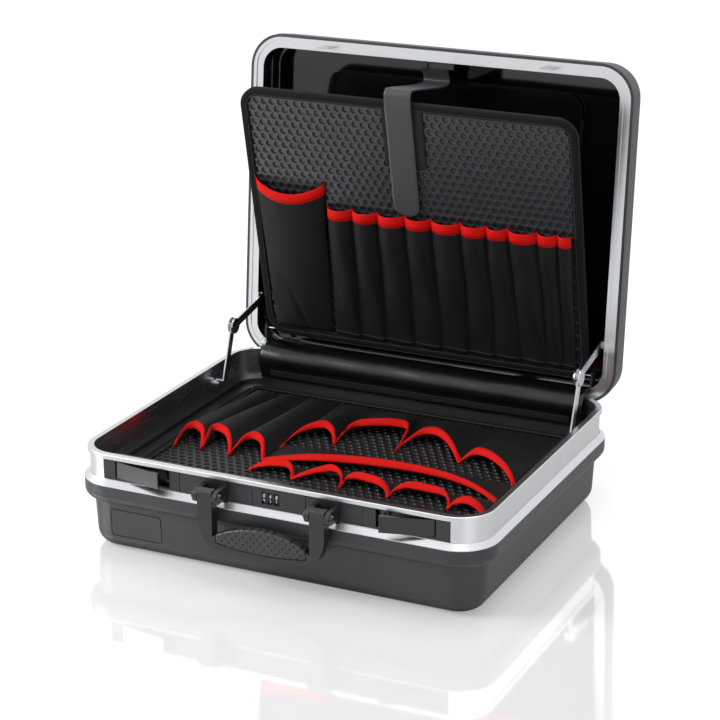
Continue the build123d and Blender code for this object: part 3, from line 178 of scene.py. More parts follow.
# Pins, rivets, leaves and stays. Zinc-plated steel, tumbled: bright grey with a blurred reflection.
plated_steel = new_material("zinc_plated_steel", "#c3c5c8", Metallic=1.0, Roughness=0.22)
where = add(plated_steel, "ShaderNodeTexCoord", {})
spangle = add(plated_steel, "ShaderNodeTexNoise",
              {"Vector": where.outputs["Object"], "Scale": 1 / 0.003, "Detail": 3.0})
spread = add(plated_steel, "ShaderNodeMapRange",
             {"Value": spangle.outputs["Fac"], "To Min": 0.14, "To Max": 0.34})
join(plated_steel, "Roughness", spread.outputs["Result"])
dress(plated_steel, "latch_pins", "code_shaft", "base_hinge_leaves", "base_hinge_rivets",
      "hinge_pins", "lid_hinge_leaves", "lid_hinge_rivets", "base_stay_pins", "lid_stay_pins",
      "base_board_pins", "lid_board_pins", "lid_strikes", "left_lower_link", "left_upper_link",
      "right_lower_link", "right_upper_link", "left_elbow_rivet", "right_elbow_rivet")


# Code wheels. Three black plastic wheels with plain white figures round each, ten to a wheel,
# printed on the rim between small ridges.
WHEEL_AXIS = (-187.8, 98.0)
WHEEL_REACH = 8.55
WHEEL_PITCH = 7.4
FIGURE_HEIGHT = 3.9
wheel_plastic = new_material("black_acetal", "#131314", Roughness=0.3, IOR=1.48)
where = add(wheel_plastic, "ShaderNodeTexCoord", {})
fine = add(wheel_plastic, "ShaderNodeTexNoise",
           {"Vector": where.outputs["Object"], "Scale": 1 / 0.0005, "Detail": 1.0})
relief = add(wheel_plastic, "ShaderNodeBump",
             {"Height": fine.outputs["Fac"], "Strength": 0.1, "Distance": 0.00005})
join(wheel_plastic, "Normal", relief.outputs["Normal"])
dress(wheel_plastic, "code_wheel_left", "code_wheel_middle", "code_wheel_right")

print_white = new_material("white_print", "#e8e8e6", Roughness=0.5)
where = add(print_white, "ShaderNodeTexCoord", {})
patchy = add(print_white, "ShaderNodeTexNoise",
             {"Vector": where.outputs["Object"], "Scale": 1 / 0.0006, "Detail": 2.0})
tint = add(print_white, "ShaderNodeMix", {"Factor": patchy.outputs["Fac"], 6: linear("#d9d9d6"),
                                          7: linear("#f4f4f2")}, data_type="RGBA")
join(print_white, "Base Color", tint.outputs[2])


def new_piece(name, points, faces, material, uv=None, smooth=True):
    """A mesh object from points in millimetres and faces; uv holds one pair in metres a point."""
    mesh = bpy.data.meshes.new(name)
    mesh.from_pydata((np.asarray(points, float).reshape(-1, 3) / 1000).tolist(), [],
                     faces if isinstance(faces, list) else faces.tolist())
    if uv is not None:
        corner = np.zeros(len(mesh.loops), np.int32)
        mesh.loops.foreach_get("vertex_index", corner)
        layer = mesh.uv_layers.new(name="cloth")
        layer.data.foreach_set("uv", np.asarray(uv, np.float32).reshape(-1, 2)[corner].ravel())
    mesh.materials.append(material)
    mesh.polygons.foreach_set("use_smooth", np.full(len(mesh.polygons), smooth))
    mesh.update()
    piece = bpy.data.objects.new(name, mesh)
    bpy.context.scene.collection.objects.link(piece)
    return piece


def figure_mesh(text, size):
    """The flat outline of a figure as points and faces, size millimetres high, centred."""
    curve = bpy.data.curves.new("figure", "FONT")
    curve.body, curve.size = text, size * 1.35
    curve.align_x, curve.align_y = "CENTER", "CENTER"
    curve.extrude = 0.03
    writing = bpy.data.objects.new("figure", curve)
    bpy.context.scene.collection.objects.link(writing)
    bpy.context.view_layer.update()
    mesh = bpy.data.meshes.new_from_object(writing)
    points = np.array([v.co for v in mesh.vertices])
    faces = [list(p.vertices) for p in mesh.polygons]
    bpy.data.objects.remove(writing)
    return points, faces


figures = [figure_mesh(str(n), FIGURE_HEIGHT) for n in range(10)]
for wheel, centre, first in (("left", -WHEEL_PITCH, 0), ("middle", 0.0, 4),
                             ("right", WHEEL_PITCH, 8)):
    points, faces, count = [], [], 0
    for k in range(10):
        flat, outline = figures[(k + first) % 10]
        turn = 2 * np.pi * (k + 0.5) / 10
        out = np.array((0.0, -np.cos(turn), np.sin(turn)))
        up = np.array((0.0, np.sin(turn), np.cos(turn)))
        middle = np.array((centre, *WHEEL_AXIS)) + WHEEL_REACH * out
        points.append(middle + flat[:, :1] * np.array((1.0, 0, 0)) + flat[:, 1:2] * up
                      + flat[:, 2:3] * out)
        faces += [[i + count for i in face] for face in outline]
        count += len(flat)
    ring = new_piece(f"figures_{wheel}", np.concatenate(points), faces, print_white, smooth=False)
    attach(ring, f"{wheel}_wheel")


# Handle grip. A softer dark insert in the front of the handle's bar, moulded with staggered round
# dimples 8.6 mm apart across and 4.5 mm from row to row, so that it doesn't slip.
grip_rubber = new_material("grip_rubber", "#2a2b2e", Roughness=0.4, IOR=1.52)
where = add(grip_rubber, "ShaderNodeTexCoord", {})
part_of = add(grip_rubber, "ShaderNodeSeparateXYZ", {"Vector": where.outputs["Object"]})
waves = []
for axis, pitch in (("X", 0.0086), ("Z", 0.009)):
    phase = add(grip_rubber, "ShaderNodeMath", {0: part_of.outputs[axis], 1: 2 * np.pi / pitch},
                operation="MULTIPLY")
    waves.append(add(grip_rubber, "ShaderNodeMath", {0: phase.outputs["Value"]}, operation="SINE"))
lattice = add(grip_rubber, "ShaderNodeMath", {0: waves[0].outputs["Value"],
                                              1: waves[1].outputs["Value"]}, operation="MULTIPLY")
dimples = add(grip_rubber, "ShaderNodeMapRange", {"Value": lattice.outputs["Value"],
                                                  "From Min": 0.3, "From Max": 0.7},
              interpolation_type="SMOOTHSTEP")
relief = add(grip_rubber, "ShaderNodeBump",
             {"Height": dimples.outputs["Result"], "Strength": 1.0, "Distance": -0.0014})
join(grip_rubber, "Normal", relief.outputs["Normal"])
# the colour follows the dimples, near black inside each one: painted shade in their hollows
tint = add(grip_rubber, "ShaderNodeMix", {"Factor": dimples.outputs["Result"], 6: linear("#303134"),
                                          7: linear("#050506")}, data_type="RGBA")
join(grip_rubber, "Base Color", tint.outputs[2])
dress(grip_rubber, "handle_grip")


# Lid lining and document pocket. Thin vacuum-formed polystyrene, glossy black: near-perfect
# reflection with a slight long wave from the forming.
gloss_styrene = new_material("glossy_polystyrene", "#08080a", Roughness=0.07, IOR=1.59)
where = add(gloss_styrene, "ShaderNodeTexCoord", {})
wave = add(gloss_styrene, "ShaderNodeTexNoise",
           {"Vector": where.outputs["Object"], "Scale": 1 / 0.09, "Detail": 1.0})
relief = add(gloss_styrene, "ShaderNodeBump",
             {"Height": wave.outputs["Fac"], "Strength": 0.15, "Distance": 0.002})
join(gloss_styrene, "Normal", relief.outputs["Normal"])
dress(gloss_styrene, "lid_liner", "document_pocket")


# Tool boards. Sheets of black polyethylene, pressed all over with round cups in staggered rows
# 10.5 mm apart; the field is dark grey and the cups show a bright lip and a dark floor.
def sheet_plastic(name, colour, **sockets):
    """Polyethylene sheet of a colour, with a faint grain."""
    plastic = new_material(name, colour, IOR=1.51, **sockets)
    where = add(plastic, "ShaderNodeTexCoord", {})
    fine = add(plastic, "ShaderNodeTexNoise",
               {"Vector": where.outputs["Object"], "Scale": 1 / 0.0012, "Detail": 2.0})
    relief = add(plastic, "ShaderNodeBump",
                 {"Height": fine.outputs["Fac"], "Strength": 0.15, "Distance": 0.0001})
    join(plastic, "Normal", relief.outputs["Normal"])
    return plastic


board_plastic = sheet_plastic("pressed_polyethylene", "#303136", Roughness=0.28)
# the base's board takes a darker, less reflective copy of the same sheet plastic: painted shade
shaded_board_plastic = sheet_plastic("pressed_polyethylene_painted_shade", "#17181a", Roughness=0.42,
                                   Specular_IOR_Level=0.3)

LEAN = np.radians(5.0)          # the open lid leans back by 5 degrees
BOARD_TILT = np.radians(12.0)   # and its board forward by 12, both from upright
BOARD_FOOT = (26.0, -2.0)       # the board's foot: up the lid, and out of it
LID_EDGE = (203.6707, 108.1289) # y and z of the open lid's lower edge
LID_BOARD = (420.0, 330.0, 24.0)        # width, length and corner radius
BASE_BOARD = (420.0, 333.0, 16.0)
BASE_BOARD_FRONT, BASE_BOARD_TOP = 168.5, 76.0


def lid_point(height, forward):
    """y and z of a point up the open lid and forward of its ring, both turned by the lean."""
    y = LID_EDGE[0] + height * np.sin(LEAN) - forward * np.cos(LEAN)
    z = LID_EDGE[1] + height * np.cos(LEAN) + forward * np.sin(LEAN)
    return y, z


def board_point(height, out):
    """y and z of a point up the lid's board and out from its face, both turned by its tilt."""
    foot_y, foot_z = lid_point(*BOARD_FOOT)
    y = foot_y - height * np.sin(BOARD_TILT) - out * np.cos(BOARD_TILT)
    z = foot_z + height * np.cos(BOARD_TILT) - out * np.sin(BOARD_TILT)
    return y, z


def on_lid_board(x, height, out):
    """Points on the lid's board from arrays of x, height up the board and distance out."""
    y, z = board_point(height, out)
    return np.stack(np.broadcast_arrays(x, y, z), -1)


def on_base_board(x, back, out):
    """Points on the base's board from arrays of x, distance back from its front edge and up."""
    return np.stack(np.broadcast_arrays(x, back - BASE_BOARD_FRONT, BASE_BOARD_TOP + out), -1)


def rounded_outline(width, length, radius, inset, parts=8):
    """Points round a rectangle with rounded corners: four centres, each with a quarter circle."""
    r = radius - inset
    quarter = np.linspace(0, np.pi / 2, parts + 1)
    angles = np.concatenate([quarter + k * np.pi / 2 for k in range(4)])
    side = np.repeat(np.array([(1, 1), (-1, 1), (-1, -1), (1, -1)]), parts + 1, 0)
    middle = side * (np.array((width, length)) / 2 - inset - r)
    return middle + r * np.stack((np.cos(angles), np.sin(angles)), -1) + (0, length / 2)


def grid_faces(rows, cols, around=False):
    """Four-sided faces over a grid of points, row by row; around joins the last column on."""
    r = np.arange(rows - 1)[:, None]
    c = np.arange(cols if around else cols - 1)[None, :]
    after = (c + 1) % cols
    quads = np.stack(np.broadcast_arrays(r * cols + c, r * cols + after, (r + 1) * cols + after,
                                         (r + 1) * cols + c), -1)
    return quads.reshape(-1, 4)


def pressed_board(name, place, width, length, radius, material):
    """A board with pressed cups: a body carried round the outline, whose face is sunk, and over
    the sunk face a sheet of hexagonal tiles, each with a round cup of three rings and a middle."""
    # the lower edge is rounded, so that it clears the ledge when the board swings up
    profile = ((30.0, -5.0), (2.4, -5.0), (0.7, -4.3), (0.0, -2.6), (0.0, -0.8), (0.8, 0.0),
               (6.6, 0.0), (6.6, -2.6), (30.0, -2.6))
    loops = []
    for inset, out in profile:
        outline = rounded_outline(width, length, radius, min(inset, radius - 2.0))
        loops.append(place(outline[:, 0], outline[:, 1], out))
    count = len(loops[0])
    body = np.concatenate(loops)
    faces = grid_faces(len(loops), count, around=True).tolist()
    faces += [list(range(count))[::-1], list(range(len(body) - count, len(body)))]
    pitch, row = 10.5, 10.5 * np.sqrt(0.75)
    angle = np.arange(12) * np.pi / 6
    reach = np.where(np.arange(12) % 2 == 0, pitch / 2, pitch / np.sqrt(3))
    rings = np.array([(1.0, 0.0), (4.2, -0.05), (3.8, -0.6), (3.3, -2.0)])
    tile = [np.stack((reach * np.cos(angle), reach * np.sin(angle), 0 * angle), -1)]
    tile += [np.stack((r * np.cos(angle), r * np.sin(angle), d + 0 * angle), -1)
             for r, d in rings[1:]]
    tile = np.concatenate(tile + [np.array([(0.0, 0.0, -2.2)])])
    rows = int(length / row)
    down, across = np.meshgrid(np.arange(rows), np.arange(-25, 26), indexing="ij")
    x = ((across + 0.5 * (down % 2)) * pitch).ravel()
    h = (down * row + (length - (rows - 1) * row) / 2).ravel()
    corner = np.hypot(np.maximum(np.abs(x) - (width / 2 - radius), 0),
                      np.maximum(np.abs(h - length / 2) - (length / 2 - radius), 0))
    inside = corner < radius - 5.6
    centre = np.stack((x[inside], h[inside], 0 * x[inside]), -1)
    cells = centre[:, None] + tile[None]
    cells = place(cells[..., 0], cells[..., 1], cells[..., 2]).reshape(-1, 3)
    one = grid_faces(4, 12, around=True)[:, ::-1].tolist()
    cap = [[36 + (k + 1) % 12, 36 + k, 48][::-1] for k in range(12)]
    start = len(body) + 49 * np.arange(len(centre))
    quads = (np.array(one)[None, :, ::-1] + start[:, None, None]).reshape(-1, 4).tolist()
    points = (np.array(cap)[None, :, ::-1] + start[:, None, None]).reshape(-1, 3).tolist()
    board = new_piece(name, np.concatenate((body, cells)), faces + quads + points, material)
    work = bmesh.new()
    work.from_mesh(board.data)
    bmesh.ops.remove_doubles(work, verts=work.verts, dist=0.00002)
    rim = [e for e in work.edges if e.is_boundary]
    skirt = bmesh.ops.extrude_edge_only(work, edges=rim)
    drop = (place(np.zeros(1), np.zeros(1), -2.5)[0] - place(np.zeros(1), np.zeros(1), 0)[0]) / 1000
    new = [v for v in skirt["geom"] if isinstance(v, bmesh.types.BMVert)]
    bmesh.ops.translate(work, verts=new, vec=drop)
    work.to_mesh(board.data)
    work.free()
    board.data.polygons.foreach_set("use_smooth", np.full(len(board.data.polygons), True))
    board.data.set_sharp_from_angle(angle=np.radians(50))
    return board


lid_sheet = pressed_board("lid_tool_board", on_lid_board, *LID_BOARD, board_plastic)
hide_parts("lid_board")
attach(lid_sheet, "lid_board")
base_sheet = pressed_board("base_tool_board", on_base_board, *BASE_BOARD, shaded_board_plastic)
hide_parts("base_board")
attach(base_sheet, "base_board")


# Edgings of the boards. Black woven tape, 9 mm wide on each face, folded over the board's edge
# and stitched through near its inner side.
tape = new_material("black_woven_tape", "#0e0e0f", Roughness=0.8, Specular_IOR_Level=0.2)
where = add(tape, "ShaderNodeTexCoord", {})
# threads 0.5 mm apart, drawn at 1.1 mm so that they show
ribs = add(tape, "ShaderNodeTexWave", {"Vector": where.outputs["UV"], "Scale": 0.314 / 0.0011},
           bands_direction="DIAGONAL")
relief = add(tape, "ShaderNodeBump",
             {"Height": ribs.outputs["Fac"], "Strength": 0.5, "Distance": 0.0002})
join(tape, "Normal", relief.outputs["Normal"])

thread = new_material("polyester_thread", "#434346", Roughness=0.55, Sheen_Weight=0.3)
where = add(thread, "ShaderNodeTexCoord", {})
twist = add(thread, "ShaderNodeTexNoise", {"Vector": where.outputs["Object"], "Scale": 1 / 0.0004})
relief = add(thread, "ShaderNodeBump",
             {"Height": twist.outputs["Fac"], "Strength": 0.3, "Distance": 0.0001})
join(thread, "Normal", relief.outputs["Normal"])


def distance_along(line):
    """How far along a line of points each one lies."""
    return np.concatenate(([0.0], np.cumsum(np.linalg.norm(np.diff(line, axis=0), axis=1))))


def along(line, pitch):
    """Places every pitch millimetres along a line of points, with the line's direction there."""
    run = np.diff(line, axis=0)
    length = np.linalg.norm(run, axis=1)
    reach = np.concatenate(([0.0], np.cumsum(length)))
    at = np.arange(pitch / 2, reach[-1], pitch)
    spot = np.stack([np.interp(at, reach, line[:, i]) for i in range(3)], -1)
    step = np.clip(np.searchsorted(reach, at) - 1, 0, len(run) - 1)
    return spot, run[step] / length[step][:, None]


def stitch_row(lines, outward, pitch=3.2, length=2.3, width=0.55):
    """Stitches along lines of points: each is a ball stretched along the line, six points round by
    four along, and half sunk. outward is the cloth's direction outward. Gives points and faces."""
    turn = np.arange(6) * np.pi / 3
    reach = np.array((-1.0, -0.7, 0.7, 1.0))
    girth = np.array((0.25, 1.0, 1.0, 0.25))
    points, faces, count = [], [], 0
    for line in lines:
        spot, ahead = along(line, pitch)
        out = np.broadcast_to(outward, spot.shape)
        side = np.cross(ahead, out)
        wide = (girth[:, None] * np.cos(turn))[None, ..., None]
        high = (girth[:, None] * np.sin(turn))[None, ..., None]
        shape = (ahead[:, None, None] * (reach * length / 2)[None, :, None, None]
                 + side[:, None, None] * wide * width / 2 + out[:, None, None] * high * width / 2)
        points.append((spot[:, None, None] + shape).reshape(-1, 3))
        start = count + 24 * np.arange(len(spot))[:, None, None]
        faces += (grid_faces(4, 6, around=True)[None] + start).reshape(-1, 4).tolist()
        faces += (np.arange(6)[::-1][None] + start[:, 0]).tolist()
        faces += (np.arange(18, 24)[None] + start[:, 0]).tolist()
        count += 24 * len(spot)
    return np.concatenate(points), faces


def edging(name, place, width, length, radius, body, node, outward):
    """A tape folded over a board's edge: a closed flat profile, carried round the outline, and the
    row of stitches near its inner side."""
    profile = np.array([(9.0, 0.1), (9.0, 1.0), (8.6, 1.3), (4.0, 1.45), (0.6, 1.2), (-0.55, 0.3),
                        (-0.7, -2.5), (-0.55, -5.3), (0.6, -6.1), (8.6, -5.9), (9.0, -5.1),
                        (0.1, -5.1), (-0.05, -2.5), (0.1, 0.05)])
    loops = []
    for inset, out in profile:
        outline = rounded_outline(width, length, radius, inset, parts=12)
        loops.append(place(outline[:, 0], outline[:, 1], out))
    points = np.stack(loops, 1)
    points = np.concatenate((points, points[:1]))
    run = distance_along(points[:, 0]) / 1000
    wide = distance_along(profile) / 1000
    uv = np.stack(np.broadcast_arrays(run[:, None], wide[None, :]), -1)
    faces = grid_faces(len(points), len(profile), around=True)
    piece = new_piece(name, points, faces[:, ::-1], tape, uv)
    work = bmesh.new()
    work.from_mesh(piece.data)
    bmesh.ops.remove_doubles(work, verts=work.verts, dist=0.00001)
    bmesh.ops.recalc_face_normals(work, faces=work.faces)
    work.to_mesh(piece.data)
    work.free()
    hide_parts(node)
    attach(piece, body)
    line = rounded_outline(width, length, radius, 7.3, parts=12)
    line = place(*np.concatenate((line, line[:1])).T, 1.4)
    rows = new_piece(name + "_stitches", *stitch_row([line], outward), thread)
    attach(rows, body)
    return piece


BOARD_OUT = np.array((0.0, -np.cos(BOARD_TILT), -np.sin(BOARD_TILT)))
UP = np.array((0.0, 0.0, 1.0))
edging("lid_board_tape", on_lid_board, *LID_BOARD, "lid_board", "lid_board_edging", BOARD_OUT)
edging("base_board_tape", on_base_board, *BASE_BOARD, "base_board", "base_board_edging", UP)


# Pockets on the lid's board. Black polyester cloth, coated at the back: ten tool pockets from one
# strip sewn down between them and pleated at the foot, and one large pocket at the left.
cloth = new_material("black_polyester_cloth", "#0b0b0c", Roughness=0.62, Specular_IOR_Level=0.25)
where = add(cloth, "ShaderNodeTexCoord", {})
# threads 0.4 mm apart, drawn at 0.9 mm so that they show
warp = add(cloth, "ShaderNodeTexWave", {"Vector": where.outputs["UV"], "Scale": 0.314 / 0.0009},
           bands_direction="X")
weft = add(cloth, "ShaderNodeTexWave", {"Vector": where.outputs["UV"], "Scale": 0.314 / 0.0009},
           bands_direction="Y")
weave = add(cloth, "ShaderNodeMath", {0: warp.outputs["Fac"], 1: weft.outputs["Fac"]},
            operation="MULTIPLY")
relief = add(cloth, "ShaderNodeBump",
             {"Height": weave.outputs["Value"], "Strength": 0.35, "Distance": 0.0002})
join(cloth, "Normal", relief.outputs["Normal"])
rub = add(cloth, "ShaderNodeTexNoise", {"Vector": where.outputs["Object"], "Scale": 1 / 0.03,
                                        "Detail": 4.0})
spread = add(cloth, "ShaderNodeMapRange",
             {"Value": rub.outputs["Fac"], "To Min": 0.5, "To Max": 0.74})
join(cloth, "Roughness", spread.outputs["Result"])

red_tape = new_material("red_woven_tape", "#e0100b", Roughness=0.68, Specular_IOR_Level=0.15)
where = add(red_tape, "ShaderNodeTexCoord", {})
ribs = add(red_tape, "ShaderNodeTexWave", {"Vector": where.outputs["UV"], "Scale": 0.314 / 0.0012},
           bands_direction="X")
relief = add(red_tape, "ShaderNodeBump",
             {"Height": ribs.outputs["Fac"], "Strength": 0.4, "Distance": 0.0002})
join(red_tape, "Normal", relief.outputs["Normal"])
# the colour follows the ribs of the relief, darker in their grooves and brighter on their tops:
# painted shade and highlight along the ribs
painted_rib_shade = add(red_tape, "ShaderNodeMix", {"Factor": ribs.outputs["Fac"], 6: linear("#cf0d09"),
                                        7: linear("#ea120c")}, data_type="RGBA")
join(red_tape, "Base Color", painted_rib_shade.outputs[2])


def laid_out(points):
    """Where each point of a grid of cloth lies when flat, in metres, for its weave."""
    across = np.linalg.norm(np.diff(points, axis=1), axis=2).mean(0)
    along_it = np.linalg.norm(np.diff(points, axis=0), axis=2).mean(1)
    u = np.concatenate(([0.0], np.cumsum(across))) / 1000
    v = np.concatenate(([0.0], np.cumsum(along_it))) / 1000
    return np.stack(np.broadcast_arrays(u[None, :], v[:, None]), -1)


def cloth_piece(name, points, thickness, material):
    """A sheet of cloth over a grid of points, with its thickness inward from the outer face."""
    piece = new_piece(name, points, grid_faces(*points.shape[:2]), material, laid_out(points))
    thick = piece.modifiers.new("thickness", "SOLIDIFY")
    thick.thickness, thick.offset = thickness / 1000, 0.0
    return piece


def folded_band(name, edge, inner, outward, width, material):
    """A tape folded over the edge of a cloth: a closed profile of two legs and a rounded fold,
    carried along the edge. inner points from the edge into the cloth, outward from its face."""
    profile = np.array([(width, 0.55), (width, 1.15), (width * 0.5, 1.3), (0.8, 1.25),
                        (-0.5, 0.75), (-0.9, 0.0), (-0.5, -0.75), (0.8, -1.2), (width, -1.15),
                        (width, -0.55), (0.4, -0.5), (0.4, 0.5)])
    points = (edge[:, None] + inner[:, None] * profile[None, :, :1]
              + outward[:, None] * profile[None, :, 1:])
    run = distance_along(edge) / 1000
    wide = distance_along(profile) / 1000
    uv = np.stack(np.broadcast_arrays(run[:, None], wide[None, :]), -1)
    count = len(profile)
    faces = grid_faces(len(edge), count, around=True).tolist()
    faces += [list(range(count))[::-1], list(range(len(edge) * count - count, len(edge) * count))]
    piece = new_piece(name, points, faces, material, uv)
    work = bmesh.new()
    work.from_mesh(piece.data)
    bmesh.ops.recalc_face_normals(work, faces=work.faces)
    work.to_mesh(piece.data)
    work.free()
    return piece


MOUTHS = np.array((-109, -76.5, -43.5, -8.5, 25, 62, 94, 121, 156.5, 181.5, 199.0))
FEET = np.array((-115, -81.5, -48, -11, 24.5, 59.5, 93, 126, 158.5, 177.5, 195.5))
FOOT_ROW, MOUTH_ROW = 12.0, 186.0


def tool_pockets(rise_share, across, top=0.0):
    """The strip of ten pockets: across runs from 0 to 10, one unit a pocket, and rise_share from 0
    at the foot to 1 at the mouth. Each pocket rises to a crest and falls back, as two quarter sine
    waves; the crest is round and central at the mouth, and low, sharp and far right at the foot."""
    k = np.minimum(across.astype(int), 9)
    t = across - k
    s = rise_share
    x = (FEET[k] + (FEET[k + 1] - FEET[k]) * t) * (1 - s) \
        + (MOUTHS[k] + (MOUTHS[k + 1] - MOUTHS[k]) * t) * s
    width = (MOUTHS[k + 1] - MOUTHS[k]) / 33.0
    open_share = np.clip((s - 0.06) / 0.75, 0, 1) ** 0.9
    crest = 0.9 - 0.42 * open_share + 0.03 * np.sin(5.1 * k)
    left = np.sin(np.pi / 2 * np.clip(t / crest, 0, 1))
    right = np.sin(np.pi / 2 * np.clip((1 - t) / (1 - crest), 0, 1))
    shape = np.where(t < crest, left ** (1.25 - 0.7 * open_share),
                     right ** (0.9 - 0.4 * open_share))
    rise = (2.6 + 8.6 * open_share) * width ** 0.6
    sag = 1.1 * np.sin(9.0 * s + 2.3 * k) * np.sin(np.pi * t) * np.sin(np.pi * s)
    return on_lid_board(x, FOOT_ROW + (MOUTH_ROW - FOOT_ROW) * s + top, 0.9 + rise * shape + sag)


s, a = np.meshgrid(np.linspace(0, 1, 49), np.linspace(0, 10, 181), indexing="ij")
strip_points = tool_pockets(s, a)
strip = cloth_piece("lid_tool_pockets", strip_points, 0.9, cloth)
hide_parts("lid_small_pockets")
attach(strip, "lid_board")

edge = strip_points[-1]
inner = strip_points[-4] - edge
inner /= np.linalg.norm(inner, axis=1)[:, None]
band = folded_band("lid_tool_pocket_band", edge - inner * 0.8, inner,
                   np.tile(BOARD_OUT, (len(edge), 1)), 12.5, red_tape)
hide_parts("lid_pocket_bindings")
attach(band, "lid_board")


def large_pocket(s, t):
    """The large pocket: t across and s from its foot to its mouth. It rises as a sine to a power,
    flatter in the middle than a half wave, and its mouth dips between its ends."""
    x = (-197 + 78 * t) * (1 - s) + (-201.5 + 91.5 * t) * s
    height = 14 + (201 - 13 * np.sin(np.pi * t) ** 0.8) * s
    swell = 2.5 + 11.5 * s ** 0.7
    bow = np.sin(np.pi * t) ** 0.55
    crease = (1.6 * np.exp(-((t - 0.25 - 0.75 * (0.45 - s)) / 0.05) ** 2)
              * np.clip(0.5 - s, 0, 1) * 2)
    return on_lid_board(x, height, 0.9 + swell * bow - crease * np.sin(np.pi * t))


s, t = np.meshgrid(np.linspace(0, 1, 57), np.linspace(0, 1, 41), indexing="ij")
large_points = large_pocket(s, t)
large = cloth_piece("lid_tall_pocket", large_points, 0.9, cloth)
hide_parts("lid_large_pocket")
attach(large, "lid_board")
edge = large_points[-1]
inner = large_points[-4] - edge
inner /= np.linalg.norm(inner, axis=1)[:, None]
large_band = folded_band("lid_tall_pocket_band", edge - inner * 0.8, inner,
                         np.tile(BOARD_OUT, (len(edge), 1)), 12.5, red_tape)
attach(large_band, "lid_board")

foot = [tool_pockets(np.full(200, 4.5 / (MOUTH_ROW - FOOT_ROW)), np.linspace(0, 10, 200))
        - BOARD_OUT * -0.45]
foot_rows = new_piece("lid_pocket_stitches", *stitch_row(foot, BOARD_OUT), thread)
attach(foot_rows, "lid_board")


# Pockets on the base's board. The same cloth and red tape: three long pockets at the left, four
# along the back, one wide flap in the middle and five short pockets in front, each mouth standing
# open and leaning back.
def smooth_line(points, count):
    """A smooth line through points: cubic pieces whose slope at a point is half the run between
    its neighbours, taken at count even shares."""
    p = np.asarray(points, float)
    slope = np.gradient(p, axis=0)
    t = np.linspace(0, len(p) - 1, count)
    k = np.minimum(t.astype(int), len(p) - 2)
    f = (t - k)[:, None]
    return ((2 * f**3 - 3 * f**2 + 1) * p[k] + (f**3 - 2 * f**2 + f) * slope[k]
            + (3 * f**2 - 2 * f**3) * p[k + 1] + (f**3 - f**2) * slope[k + 1])


SEAM_Z = 77.0           # where the cloth is sewn down
ROLL_REACH, ROLL_DROP, FULL_RISE = 7.0, 5.5, 16.0


def pocket_row(name, node, mouths, tails, tail_y, fall, rows=25, columns=29):
    """A row of pockets: each mouth is a smooth line through its points, and the cloth runs from
    there back to the tail, falling by a power of the share of the way. Neighbours share seams."""
    sheets = []
    for points, (x0, x1) in zip(mouths, tails):
        rim = smooth_line(points, columns)
        t = np.linspace(0, 1, columns)
        tail = np.stack((x0 + (x1 - x0) * t, np.full(columns, tail_y),
                         SEAM_Z + 1.5 * np.sin(np.pi * t)), -1)
        s = (np.linspace(0, 1, rows) ** 1.6)[:, None, None]
        body = rim * (1 - s) + tail * s
        lift = (rim[None, :, 2:] - SEAM_Z) * (1 - s) ** fall + SEAM_Z
        body[..., 2:] = lift + 1.5 * np.sin(np.pi * t)[None, :, None] * s
        # the mouth rolls over and down within 7 mm, and less where it nears the board
        back = np.linalg.norm(body - body[:1], axis=2, keepdims=True)
        roll = np.clip(1 - back / ROLL_REACH, 0, 1) ** 2
        body[..., 2:] -= ROLL_DROP * roll * np.clip((rim[None, :, 2:] - SEAM_Z) / FULL_RISE, 0, 1)
        sheets.append(body if not sheets else body[:, 1:])
    points = np.concatenate(sheets, 1)
    piece = cloth_piece(name, points, 0.9, cloth)
    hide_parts(node)
    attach(piece, "base_board")
    edge = points[0]
    inner = points[3] - edge
    inner /= np.linalg.norm(inner, axis=1)[:, None]
    across = np.gradient(edge, axis=0)
    outward = np.cross(inner, across)
    outward *= np.sign(outward[:, 2:] + 1e-9)
    outward /= np.linalg.norm(outward, axis=1)[:, None]
    band = folded_band(name + "_band", edge - inner * 0.8, inner, outward, 8.5, red_tape)
    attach(band, "base_board")
    return band


left_mouths = [[(-197, -62, 77), (-199.5, -40, 86), (-198, -26, 92), (-190, -20, 93.5),
                (-178, -27, 91), (-168, -45, 83), (-163, -57, 77)],
               [(-163, -57, 77), (-167, -36, 86), (-170, -21, 92), (-163, -16, 93.5),
                (-148, -22, 91), (-135, -40, 83), (-127, -57, 77)],
               [(-127, -57, 77), (-125, -38, 86), (-121, -24, 91.5), (-112, -20, 93),
                (-100, -27, 90), (-91, -43, 83), (-85, -54, 77)]]
band = pocket_row("base_long_pockets", "base_left_pockets", left_mouths,
                  [(-197, -163), (-163, -127), (-127, -85)], 147.0, 0.55, rows=41)
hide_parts("base_pocket_bindings")
rear_mouths = [[(-84, -12, 77), (-82, 16, 84), (-72, 36, 90), (-56, 46, 93), (-44, 42, 88),
                (-36, 30, 80), (-33, 24, 77)],
               [(-33, 24, 77), (-32, 42, 84), (-27, 64, 91), (-6, 74, 94), (18, 83, 94),
                (34, 84, 91), (38, 58, 83), (39, 37, 77)],
               [(39, 37, 77), (44, 56, 83), (54, 74, 91), (70, 78, 94), (88, 68, 93),
                (104, 52, 87), (116, 37, 80), (120, 33, 77)],
               [(120, 33, 77), (126, 42, 84), (136, 46, 91), (156, 36, 94), (178, 20, 91),
                (193, 5, 84), (200.5, -6, 77)]]
pocket_row("base_back_pockets", "base_rear_pockets", rear_mouths,
           [(-84, -33), (-33, 39), (39, 120), (120, 200.5)], 147.5, 1.0)
middle_mouth = [[(-84, -55, 77), (-62, -52, 82), (-28, -46, 88), (22, -36, 90.5), (80, -31, 91),
                 (126, -33, 90.5), (164, -42, 88), (190, -52, 82), (200.5, -57, 77)]]
pocket_row("base_wide_pocket", "base_middle_pocket", middle_mouth, [(-84, 200.5)], 0.0, 0.9,
           columns=121)
